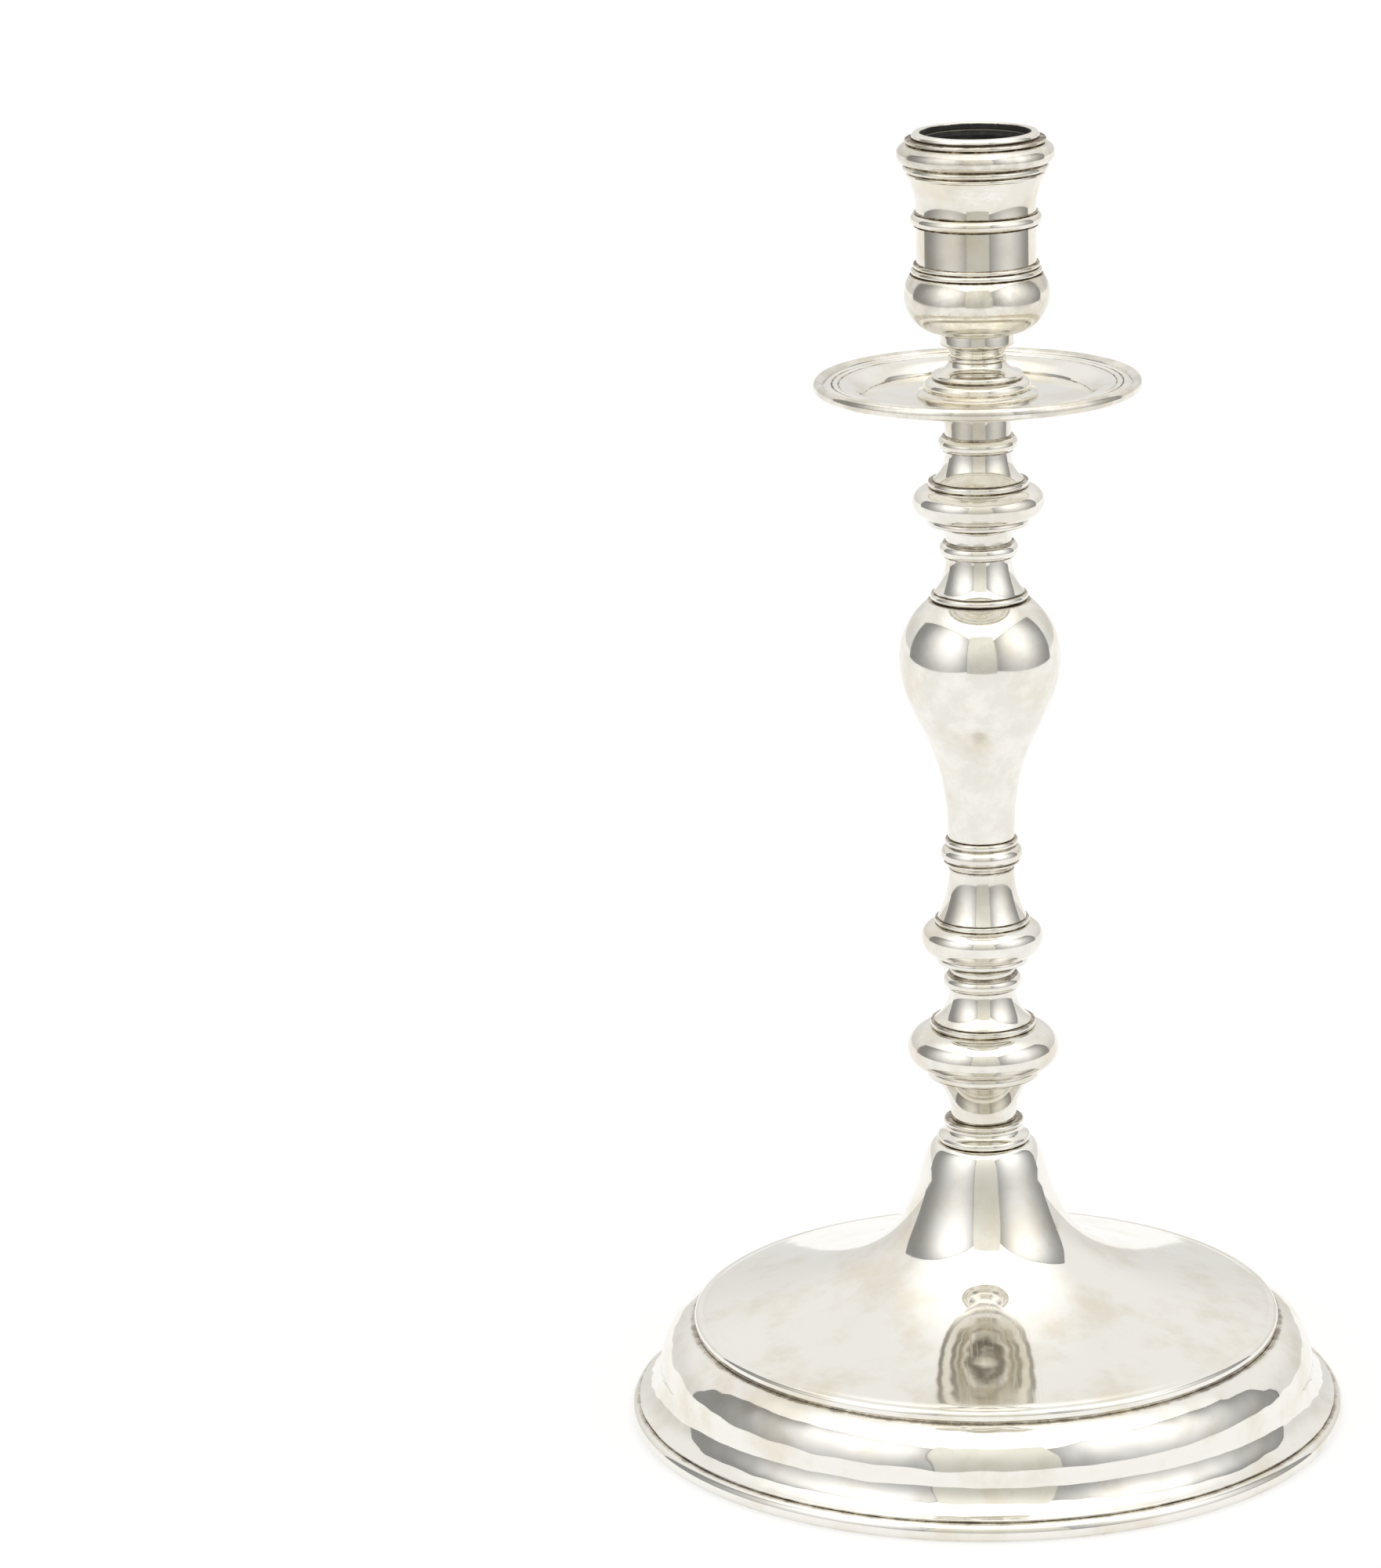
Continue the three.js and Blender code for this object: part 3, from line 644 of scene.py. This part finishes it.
def border_outline(sizes):
    """The foot's border: upright edge, hollow, round, and the flange under the dish."""
    radius, _, top = place("foot_border", 0)
    low = place("foot_wire")[2]
    dish_radius = place("foot_dish")[0]
    waist = (radius - 4.9, low + 7.9)
    face = [
        (radius - 0.1, low),
        (radius, low + 0.5),
        *bow((radius - 0.3, low + 0.6), waist, -sizes.cove_bow)[1:],
        *bow(waist, (dish_radius + 0.5, top), sizes.round_bow)[1:],
        (dish_radius - 2.1, top),
    ]
    return wall(face, sizes.sheet)


def dish_outline(sizes):
    """The dish: upright edge, shallow cone, trumpet and rounded shoulder."""
    radius, low, top = place("foot_dish")
    rim_radius = radius - 0.6
    rim_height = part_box("foot_dish")[0].z / MM + 2.3
    neck_height = top - JOIN - 3.2
    near, far = sizes.trumpet - sizes.pole, rim_radius - sizes.pole
    fall = sizes.slope * (rim_radius - sizes.trumpet)
    rise = (neck_height - rim_height - fall) / (1 / near - 1 / far)
    level = rim_height + sizes.slope * rim_radius - rise / far
    steps, crowding = 120, 1.6
    trumpet = []
    shoulder_radius = sizes.trumpet + 0.8
    for i in range(steps + 1):
        r = shoulder_radius + (rim_radius - shoulder_radius) * (1 - i / steps) ** crowding
        ripple = sizes.rings * math.sin(FULL_TURN * r / sizes.ring_pitch + 1.7 * math.sin(r / 6))
        fade = min(1, (rim_radius - r) / 4) * min(1, max(0, (r - 24) / 8))
        trumpet.append((r, level + rise / (r - sizes.pole) - sizes.slope * r + ripple * fade))
    pulls = (sizes.trumpet + 0.1, neck_height - 0.9), (12.2, top - 0.8)
    shoulder = sweep(trumpet[-1], *pulls, (10.6, top), 12)
    face = [
        (radius - 0.15, low),
        (radius, low + 0.5),
        *bow((radius, low + 1.5), (rim_radius - 0.5, rim_height + 0.1), 0.25, 0.15),
        (rim_radius - 1.3, trumpet[1][1] - 0.02),
        *trumpet[3:],
        *shoulder[1:],
        (6.2, top),
    ]
    return wall(face, sizes.sheet)


def collar_outline(bore):
    """The collar on the trumpet: bead, hollow, small bead."""
    radius, low, top = place("foot_collar")
    return bored(
        [
            *ring(radius, low, low + 1.6, 0.45),
            (radius - 0.75, low + 1.75),
            *bow((radius - 0.8, low + 1.95), (radius - 1.75, top - 1.5), -0.35)[1:],
            *ring(radius - 1.4, top - 1.3, top, 0.4),
        ],
        bore,
    )


class CANDLESTICK_OT_foot(bpy.types.Operator):
    """Makes the foot: wire, border, dish and collar"""

    bl_idname = "candlestick.foot"
    bl_label = "Foot"

    def execute(self, context):
        look = context.scene.candlestick_silver
        sizes = context.scene.candlestick_foot
        raised = silver("raised silver", look)
        radius, low, top = place("foot_wire", 0)
        middle, half = radius - top / 2, top / 2
        wire = [
            (middle + 1.0, low),
            *ellipse((middle, low + half), half, half, -58, 90),
            (middle - half * 0.8, top - 0.3),
            (middle - half, low + half),
            (middle - 1.0, low),
        ]
        turned("foot_wire", wire, raised, [top], sides=360, ripple=0.02, ripple_scale=60.0)
        border_top = place("foot_border")[2]
        seams = [top, border_top]
        border = border_outline(sizes)
        turned("foot_border", border, raised, seams, sides=360, ripple=0.24, ripple_scale=110.0)
        turned("foot_dish", dish_outline(sizes), raised, [border_top], sides=280, ripple=0.022)
        collar = collar_outline(context.scene.candlestick_stem.bore)
        turned("foot_collar", collar, silver("cast silver", look), place("foot_collar")[1:])
        return {"FINISHED"}


# ---------- stem ----------


def knop_outline(node, bottom, top, fillets, belly_share, sizes):
    """A hollow knop: fillet, round belly, fillet."""
    radius, low, high = place(node)
    start, end = low + fillets[0], high - fillets[1]
    belly = start + (end - start) * belly_share
    face = [
        *ring(bottom, low, start - 0.1, 0.22),
        (bottom - 0.35, start),
        *ellipse((bottom - 0.4, belly), radius - bottom + 0.4, belly - start, -76, 0),
        *ellipse((top - 0.4, belly), radius - top + 0.4, end - belly, 0, 76)[1:],
        (top - 0.35, end),
        *ring(top, end + 0.1, high, 0.22),
    ]
    deepest = (radius - 1.5 * sizes.casting, belly)
    hollow = [(sizes.bore, high), (sizes.bore, end), deepest, (sizes.bore, start), (sizes.bore, low)]
    return face + hollow


def flare(wide, narrow):
    """A hollow curve between a flare's wide end and the neck, which it leaves without a corner."""
    (r0, z0), (r1, z1) = wide, narrow
    rise = math.hypot(r0 - r1, z1 - z0) / 2 * math.tan(math.atan2(r0 - r1, abs(z1 - z0)) / 2)
    return bow(*sorted((wide, narrow), key=lambda point: point[1]), -rise)


def neck_outline(node, foot, flare_height, top, cove, sizes):
    """A neck that flares at its foot, runs straight, and may flare again under a knop."""
    low, high = place(node)[1:]
    face = flare((foot, low), (sizes.neck, low + flare_height))
    if top:
        face += flare((top, high), (sizes.neck, high - cove))
    else:
        face.append((sizes.neck, high))
    return bored(face, sizes.bore)


def bead_outline(node, bore):
    """A half-round wire with a thin flat on each side."""
    radius, low, high = place(node, 0, 0)
    side = bore + 0.5
    face = [(side, low - 0.15), *ring(radius, low + 0.1, high - 0.1, 1.0), (side, high + 0.15)]
    return bored(face, bore)


def vase_outline(sizes):
    """The baluster: long flank, round belly, and shoulder."""
    radius, low, high = place("vase")
    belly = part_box("vase")[0].z / MM + sizes.belly_height
    foot = sizes.neck + 0.1
    pulls = (foot, low + sizes.foot_pull), (radius, belly - sizes.belly_pull)
    flank = sweep((foot, low), *pulls, (radius, belly), 130)
    end = math.degrees(math.asin((high - belly) / sizes.shoulder_reach))
    shoulder = ellipse((0, belly), radius, sizes.shoulder_reach, 0, end)
    return wall([*flank, *shoulder[1:], (sizes.neck + 1.2, high)], sizes.casting)


def vase_collar_outline(sizes):
    """The collar under the vase: hollow, bead, small bead."""
    radius, low, high = place("vase_collar")
    small = sizes.neck + 0.75
    return bored(
        [
            (sizes.neck, low),
            (sizes.neck, low + 0.9),
            *ring(radius - 0.65, low + 1.0, low + 1.6, 0.25),
            *ring(radius, low + 1.7, high - 1.75, 0.9),
            (small - 0.25, high - 1.55),
            *ring(small + 0.1, high - 1.4, high, 0.3),
        ],
        sizes.bore,
    )


def upper_neck_outline(sizes):
    """The top of the stem, with the small head that the drip pan sits on."""
    radius, low, high = place("upper_neck", JOIN, 0)
    return bored(
        [
            *flare((9.8, low), (sizes.neck, low + 5.6)),
            *bow((sizes.neck, high - 3.3), (radius - 0.1, high - 0.9), -0.35),
            (radius, high - 0.75),
            (radius, high),
        ],
        sizes.bore,
    )


class CANDLESTICK_OT_stem(bpy.types.Operator):
    """Makes the stem, from the cone on the foot to the head under the drip pan"""

    bl_idname = "candlestick.stem"
    bl_label = "Stem"

    def execute(self, context):
        look = context.scene.candlestick_silver
        sizes = context.scene.candlestick_stem
        cast = silver("cast silver", look)
        low, high = place("lower_cone")[1:]
        outlines = {
            "lower_cone": bored(bow((sizes.neck, low), (11.2, high), -1.1), sizes.bore),
            "lower_knop": knop_outline("lower_knop", 12.4, 11.5, (1.9, 1.4), 0.47, sizes),
            "lower_neck": neck_outline("lower_neck", 10.7, 7.2, 9.0, 2.6, sizes),
            "middle_knop": knop_outline("middle_knop", 10.0, 10.3, (1.5, 1.2), 0.6, sizes),
            "middle_neck": neck_outline("middle_neck", 9.7, 10.3, None, 0, sizes),
            "vase_collar": vase_collar_outline(sizes),
            "shoulder_neck": neck_outline("shoulder_neck", 9.8, 7.2, 9.0, 3.0, sizes),
            "upper_knop": knop_outline("upper_knop", 11.0, 10.8, (1.4, 1.4), 0.53, sizes),
        }
        for node, outline in outlines.items():
            turned(node, outline, cast, place(node)[1:], ripple=0.008)
        turned("upper_neck", upper_neck_outline(sizes), cast, [place("upper_neck")[1]], ripple=0.008)
        radius, low, high = place("shoulder_ring")
        shoulder = bored(ring(radius, low, high, 0.5), sizes.bore)
        turned("shoulder_ring", shoulder, cast, [low, high])
        seams = place("vase")[1:]
        polished = silver("vase silver", look)
        turned("vase", vase_outline(sizes), polished, seams, sides=192, ripple=0.01, ripple_scale=70.0)
        for node in ("lower_bead", "shoulder_bead", "upper_bead"):
            low, high = place(node, 0, 0)[1:]
            turned(node, bead_outline(node, sizes.neck), cast, [low - 0.1, high + 0.1])
        return {"FINISHED"}


# ---------- drip pan ----------


def pan_outline(sizes):
    """The pan: flat well, hollow side, and a border with two fine lines."""
    radius, low, top = place("drip_pan", 0, 0)
    border = radius - 3.6
    border_low, well_top = top - sizes.sheet, low + sizes.sheet
    return [
        (sizes.screw_hole, low),
        (sizes.well, low),
        *bow((sizes.well, low), (border, border_low), 0.6)[1:],
        (radius + 0.2, border_low),
        (radius + 0.2, top - 0.25),
        *bow((radius - 0.2, top - 0.1), (radius - 1.3, top - 0.1), 0.25, 0.12),
        (radius - 1.45, top - 0.28),
        *bow((radius - 1.6, top - 0.12), (radius - 2.7, top - 0.12), 0.22, 0.12),
        (radius - 2.85, top - 0.3),
        (border + 0.3, top - 0.1),
        *bow((border, top - 0.12), (sizes.well - 0.4, well_top), 0.75)[1:],
        (sizes.screw_hole, well_top),
    ]


def pan_wire_outline():
    """The wire rolled into the pan's edge, worn a little flat on top."""
    radius, low, top = place("pan_rim_wire", 0, 0)
    half_wide, half_high = 1.15, (top - low) / 2
    middle = (radius - half_wide, (low + top) / 2)
    outside = ellipse(middle, half_wide, half_high, -95, 80, 0.15)
    return outside + ellipse(middle, 1.2, half_high * 0.8, 110, 230, 0.3)


class CANDLESTICK_OT_pan(bpy.types.Operator):
    """Makes the drip pan and the wire round its edge"""

    bl_idname = "candlestick.pan"
    bl_label = "Drip pan"

    def execute(self, context):
        look = context.scene.candlestick_silver
        pan, wire = pan_outline(context.scene.candlestick_socket), pan_wire_outline()
        scratched, worn = silver("pan silver", look), silver("worn silver", look)
        turned("drip_pan", pan, scratched, sides=240, ripple=0.015, ripple_scale=80.0, soft=0.08)
        turned("pan_rim_wire", wire, worn, sides=240, ripple=0.03, ripple_scale=150.0)
        return {"FINISHED"}


# ---------- socket ----------


def socket_foot_outline(sizes):
    """The socket's foot: flange, round, ring, cone, wrist and throat."""
    radius, low, top = place("socket_foot")
    return bored(
        [
            (radius, low - 0.25),
            (radius - 0.1, low + 0.6),
            (radius - 1.0, low + 0.85),
            *bow((radius - 1.75, low + 0.9), (9.5, low + 3.4), 0.95)[1:],
            (9.3, low + 3.55),
            *ring(9.65, low + 3.65, low + 4.7, 0.25),
            *bow((9.1, low + 4.8), (6.0, low + 7.3), -0.6)[1:],
            *ring(6.35, low + 7.4, low + 8.2, 0.3),
            *bow((5.75, low + 8.3), (7.3, top), -0.45),
        ],
        sizes.screw_hole,
    )


def bowl_outline(sizes):
    """The bowl that carries the tube: round below, drawn in at its lip."""
    radius, low, top = place("cup_bowl")
    bottom, lip = 7.7, sizes.tube + 1.3
    belly = top - 4.0 - JOIN
    lip_angle = math.degrees(math.acos((lip - bottom) / (radius - bottom)))
    lip_high = (top - belly) / math.sin(math.radians(lip_angle))
    face = [
        (sizes.screw_hole, low),
        *ellipse((bottom, belly), radius - bottom, belly - low, -90, 0),
        *ellipse((bottom, belly), radius - bottom, lip_high, 0, lip_angle)[1:],
        (sizes.tube - sizes.tube_wall, top),
    ]
    return wall(face, 1.6)


def tube_outline(sizes):
    """The socket's tube: straight below, flared above, with a fine bead at its top."""
    radius, low, top = place("socket_tube")
    face = [(sizes.tube, low), *bow((sizes.tube, top - 8.1), (radius - 0.25, top - 1.2), -0.4)]
    face += ring(radius + 0.1, top - 1.1, top - 0.1, 0.3)
    face.append((radius - 0.2, top))
    return bored(face, sizes.tube - sizes.tube_wall)


def rim_outline(sizes):
    """The moulding round the mouth: fillet, round, and the ring that the liner's lip sits on."""
    radius, low, top = place("rim_moulding")
    fillet, ledge = radius - 1.35, radius - 1.95
    face = [
        (fillet - 0.35, low),
        *ring(fillet, low + 0.05, low + 1.2, 0.3),
        (fillet - 0.45, low + 1.4),
        *bow((fillet - 0.2, low + 1.5), (ledge + 0.1, top - 1.1), 1.65),
        (ledge - 0.35, top - 0.95),
        *ring(ledge + 0.15, top - 0.85, top, 0.3),
    ]
    return bored(face, sizes.tube - sizes.tube_wall)


class CANDLESTICK_OT_socket(bpy.types.Operator):
    """Makes the candle socket, from its foot on the pan to its rim"""

    bl_idname = "candlestick.socket"
    bl_label = "Socket"

    def execute(self, context):
        look = context.scene.candlestick_silver
        sizes = context.scene.candlestick_socket
        bead = place("socket_tube")[2]
        patch = ((0.0008, -0.0145, (bead - 3.6) * MM), (0.0055, 0.01, 0.0022))
        warm = silver("socket silver", look, rubbed=patch)
        worn, cast = silver("worn silver", look), silver("cast silver", look)
        turned("socket_foot", socket_foot_outline(sizes), cast, [place("socket_foot")[1]], sides=168)
        radius, low, high = place("socket_collar")
        collar = bored([(radius, low), (radius, high)], sizes.screw_hole)
        turned("socket_collar", collar, warm, [low, high])
        turned("cup_bowl", bowl_outline(sizes), worn, [place("cup_bowl")[2]], sides=192, ripple=0.012)
        turned("socket_tube", tube_outline(sizes), warm, [bead], sides=192, ripple=0.012)
        radius, low, high = place("step_ring", JOIN, 0)
        steps = [
            *ring(radius, low, low + 1.15, 0.25),
            (radius - 0.6, low + 1.25),
            *ring(radius - 0.45, low + 1.3, high, 0.25),
        ]
        turned("step_ring", bored(steps, sizes.tube), warm, [low, high])
        low, high = place("middle_band", 0, 0)[1:]
        turned("middle_band", bead_outline("middle_band", sizes.tube), warm, [low - 0.1, high + 0.1])
        seams = place("rim_moulding")[1:]
        turned("rim_moulding", rim_outline(sizes), worn, seams, sides=192, ripple=0.03)
        return {"FINISHED"}


# ---------- liner ----------


def liner_mouth():
    """Radius of the liner's mouth."""
    return place("socket_liner")[0] - 1.85


def liner_outline(sizes):
    """The lift-out cup: rounded lip, flared mouth, straight bore and flat floor."""
    radius, low, top = place("socket_liner", 0, 0)
    under = top - 1.2 - 2 * JOIN
    outside, mouth = sizes.candle + 0.6, liner_mouth()
    return [
        (0, low),
        (outside, low),
        (outside, under),
        (radius, under),
        *ring(radius, under, top - 0.35, 0.25),
        *bow((radius - 0.45, top - 0.1), (mouth + 0.25, top - 0.05), 0.06, 0.15),
        *bow((mouth + 0.1, top - 0.15), (sizes.candle, top - 2.6), -0.15, 0.25),
        (sizes.candle, low + 1.1),
        (sizes.candle - 0.3, low + 0.8),
        (0, low + 0.8),
    ]


class CANDLESTICK_OT_liner(bpy.types.Operator):
    """Makes the liner that lifts out of the socket"""

    bl_idname = "candlestick.liner"
    bl_label = "Liner"

    def execute(self, context):
        look = context.scene.candlestick_silver
        sizes = context.scene.candlestick_socket
        seams = [place("socket_liner", 0, 0)[2] - 1.4]
        outline, sooted = liner_outline(sizes), sooted_silver(look, sizes.candle)
        turned("socket_liner", outline, sooted, seams, sides=192, ripple=0.015, ripple_scale=160.0)
        return {"FINISHED"}


# ---------- what holds it together ----------


class CANDLESTICK_OT_fastenings(bpy.types.Operator):
    """Makes the tie rod, its nut and washer, the two bushes and the socket's screw"""

    bl_idname = "candlestick.fastenings"
    bl_label = "Fastenings"

    def execute(self, context):
        thread_step, shank, hole = 0.25, 3.2, 2.8
        radius, low, high = place("tie_rod", 0, 0)
        bush_low = place("foot_bush", 0, 0)[1]
        rod = refine([(0, low), (radius, low), (radius, high), (0, high)], thread_step)
        thread = ScrewThread(root=radius - 0.1, low=low - 1, high=bush_low, pitch=1.5, depth=0.4)
        turned("tie_rod", rod, iron(), sides=48, soft=0.0, ripple=0.0, thread=thread)

        radius, low, high = place("socket_screw", 0, 0)
        pan_low, head = place("drip_pan", 0, 0)[1], place("cup_bowl", 0, 0)[1] + 1.9
        screw = [(0, low), (shank - 0.5, low), (shank, low + 0.5), (shank, head), (radius, head)]
        screw += [(radius, high - 0.4), (radius - 0.4, high), (0, high)]
        screw = refine(screw, thread_step)
        thread = ScrewThread(root=shank - 0.6, low=low - 1, high=pan_low - 0.2, pitch=2.0, depth=0.5)
        turned("socket_screw", screw, iron(), sides=72, soft=0.0, ripple=0.0, thread=thread)

        radius, low, high = place("rod_washer", 0, 0)
        edge = [(radius - 0.2, low), (radius, low + 0.2), (radius, high - 0.2), (radius - 0.2, high)]
        turned("rod_washer", bored(edge, hole), iron(), sides=96, ripple=0.03, ripple_scale=300.0)
        radius, low, high = place("rod_nut", 0, 0)
        edge = [(radius - 0.8, low), (radius, low + 0.5), (radius, high - 0.5), (radius - 0.8, high)]
        turned("rod_nut", bored(edge, hole), iron(), soft=0.05, across_flats=10.0)
        radius, low, high = place("foot_bush", 0, 0)
        bush = bored([(radius, low), (radius, high - 1.7), (radius - 2.2, high)], hole)
        turned("foot_bush", bush, brass(), sides=96)
        radius, low, high = place("stem_bush", 0, 0)
        step = high - 8.3
        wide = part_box("socket_screw")[1].x / MM - 2.1
        bush = [(radius, low), (radius, high), (wide, high), (wide, step), (hole, step), (hole, low)]
        turned("stem_bush", bush, brass(), sides=96)
        return {"FINISHED"}


# ---------- studio ----------


def stage_sheet(name, corners, material):
    """A flat sheet of the studio, which isn't part of the candlestick."""
    mesh = bpy.data.meshes.new(name)
    mesh.from_pydata(corners, [], [(0, 1, 2, 3)])
    mesh.materials.append(material)
    sheet = bpy.data.objects.new(name, mesh)
    bpy.context.scene.collection.objects.link(sheet)
    return sheet


def upright_card(name, glow, azimuth, distance, left, right, top):
    """An upright glowing card that faces the stem. glow works out its colour from a place on it."""
    material, g, spot = new_surface(name + " glow")
    show(g, g.node("ShaderNodeEmission", {}, {"Color": glow(g, spot), "Strength": 1.0}))
    corners = [(left, 0, 0), (right, 0, 0), (right, 0, top), (left, 0, top)]
    card = stage_sheet(name, corners, material)
    angle = math.radians(azimuth)
    card.location = (math.sin(angle) * distance, -math.cos(angle) * distance, 0)
    card.rotation_euler = (0, 0, angle)
    card.visible_camera = False
    card.visible_shadow = False


def scrim_glow(hot_x, hot_z, left, right, top):
    """A lit scrim: grey, with the lamp behind it as a soft white spot, and a dark frame."""

    def glow(g, spot):
        x, z = g.along("X", spot), g.along("Z", spot)
        reach = ((x - hot_x) / 0.34) ** 2.0 + ((z - hot_z) / 0.46) ** 2.0
        lamp = g.maths("EXPONENT", reach * -0.5)
        inside = g.maths("MINIMUM", g.maths("MINIMUM", x - left, right - x), top - z)
        level = (lamp * 1.15 + 0.3) * g.between(inside, 0.012, 0.02, 0.35, 1.0)
        return g.tinted(level, (1.0, 0.995, 0.985))

    return glow


def gap_glow(g, spot):
    """The warm white wall that shows between the scrims, dimmer towards the floor."""
    return g.tinted(g.between(g.along("Z", spot), 0.0, 0.8, 0.62, 1.0), (1.0, 0.985, 0.9))


class CANDLESTICK_OT_studio(bpy.types.Operator):
    """Makes the floor, the light and the camera"""

    bl_idname = "candlestick.studio"
    bl_label = "Studio"

    def execute(self, context):
        studio = context.scene.candlestick_studio
        self.floor()
        self.room(studio)
        distance, top = studio.scrim_distance, studio.scrim_height
        scrims = (("left", -60, -1.35, 0.60, 0.11), ("right", 66, -0.76, 0.85, -0.09))
        for side, azimuth, left, right, hot in scrims:
            glow = scrim_glow(hot, top * 0.69, left, right, top)
            upright_card("scrim_" + side, glow, azimuth, distance, left, right, top)
        upright_card("gap_card", gap_glow, 1, distance * 0.97, -0.30, 0.27, top * 0.93)
        self.camera(context, studio)
        context.scene.view_settings.view_transform = "Standard"
        return {"FINISHED"}

    @staticmethod
    def floor():
        """A pale floor, lit to white. From below it is clear, so the foot's underside can be seen."""
        reach, drop, brightness, glow_share = 7.0, 0.0002, 1.12, 0.6
        material, g, spot = new_surface("floor white")
        colour = g.blend(g.noise(spot, 4.0), (0.82, 0.815, 0.8, 1), (0.86, 0.855, 0.84, 1))
        paper = g.node("ShaderNodeBsdfDiffuse", {}, {"Color": colour, "Roughness": 0.5})
        glow = g.node("ShaderNodeEmission", {}, {"Color": (1.0, 1.0, 1.0, 1), "Strength": brightness})
        lit = g.node("ShaderNodeMixShader", {}, {0: glow_share, 1: paper, 2: glow})
        below = g.node("ShaderNodeNewGeometry", output="Backfacing")
        clear = g.node("ShaderNodeBsdfTransparent")
        show(g, g.node("ShaderNodeMixShader", {}, {0: below, 1: lit, 2: clear}))
        corners = [(-reach, -reach, 0), (reach, -reach, 0), (reach, reach, 0), (-reach, reach, 0)]
        stage_sheet("floor", corners, material).location.z = -drop

    @staticmethod
    def room(studio):
        """A white room, brightest overhead and in front."""
        world = bpy.data.worlds.new("white room")
        bpy.context.scene.world = world
        world.use_nodes = True
        world.node_tree.nodes.clear()
        g = Graph(world.node_tree)
        heading = g.node("ShaderNodeTexCoord", output="Generated")
        lamp = Vector((0.0, -0.36, 0.93)).normalized()
        overhead = g.between(g.vectors("DOT_PRODUCT", heading, lamp, output="Value"), 0.45, 0.92)
        height = g.maths("ABSOLUTE", g.along("Z", heading))
        behind = g.between(g.along("Y", heading), -0.2, 0.7) * g.between(height, 0.5, 0.1)
        level = overhead * (studio.top_light - studio.room_light) + studio.room_light - behind * 0.14
        colour = g.tinted(level, (1.0, 0.99, 0.965))
        show(g, g.node("ShaderNodeBackground", {}, {"Color": colour, "Strength": 1.0}), "World")

    @staticmethod
    def camera(context, studio):
        """The camera, which looks down a little and leans with the stem."""
        data = bpy.data.cameras.new("camera")
        data.lens = studio.lens
        data.sensor_width = 36.0
        data.clip_end = 30.0
        camera = bpy.data.objects.new("camera", data)
        context.scene.collection.objects.link(camera)
        pitch, roll = studio.camera_pitch, studio.camera_roll
        right = Vector((1, 0, 0))
        look = Vector((0, math.cos(pitch), -math.sin(pitch)))
        level_up = Vector((0, math.sin(pitch), math.cos(pitch)))
        side = right * math.cos(roll) + level_up * math.sin(roll)
        up = level_up * math.cos(roll) - right * math.sin(roll)
        turn = Matrix((side, up, -look)).transposed()
        camera.matrix_world = Matrix.Translation(studio.camera_place) @ turn.to_4x4()
        context.scene.camera = camera


# ---------- add-on ----------

GROUPS = {
    "candlestick_silver": SilverLook,
    "candlestick_foot": FootSizes,
    "candlestick_stem": StemSizes,
    "candlestick_socket": SocketSizes,
    "candlestick_studio": StudioSettings,
}
OPERATORS = (
    CANDLESTICK_OT_foot,
    CANDLESTICK_OT_stem,
    CANDLESTICK_OT_pan,
    CANDLESTICK_OT_socket,
    CANDLESTICK_OT_liner,
    CANDLESTICK_OT_fastenings,
    CANDLESTICK_OT_studio,
)


class CANDLESTICK_PT_panel(bpy.types.Panel):
    """Lists the candlestick's pieces and settings"""

    bl_label = "Candlestick"
    bl_idname = "CANDLESTICK_PT_panel"
    bl_space_type = "VIEW_3D"
    bl_region_type = "UI"
    bl_category = "Candlestick"

    def draw(self, context):
        for operator in OPERATORS:
            self.layout.operator(operator.bl_idname)
        for group in GROUPS:
            box = self.layout.box()
            settings = getattr(context.scene, group)
            for name in settings.__annotations__:
                box.prop(settings, name)


def register():
    for group, kind in GROUPS.items():
        bpy.utils.register_class(kind)
        setattr(bpy.types.Scene, group, bpy.props.PointerProperty(type=kind))
    for kind in (*OPERATORS, CANDLESTICK_PT_panel):
        bpy.utils.register_class(kind)


def unregister():
    for kind in (CANDLESTICK_PT_panel, *reversed(OPERATORS)):
        bpy.utils.unregister_class(kind)
    for group, kind in GROUPS.items():
        delattr(bpy.types.Scene, group)
        bpy.utils.unregister_class(kind)


def main():
    register()
    bpy.ops.candlestick.foot()
    bpy.ops.candlestick.stem()
    bpy.ops.candlestick.pan()
    bpy.ops.candlestick.socket()
    bpy.ops.candlestick.liner()
    bpy.ops.candlestick.fastenings()
    bpy.ops.candlestick.studio()


if __name__ == "__main__":
    main()
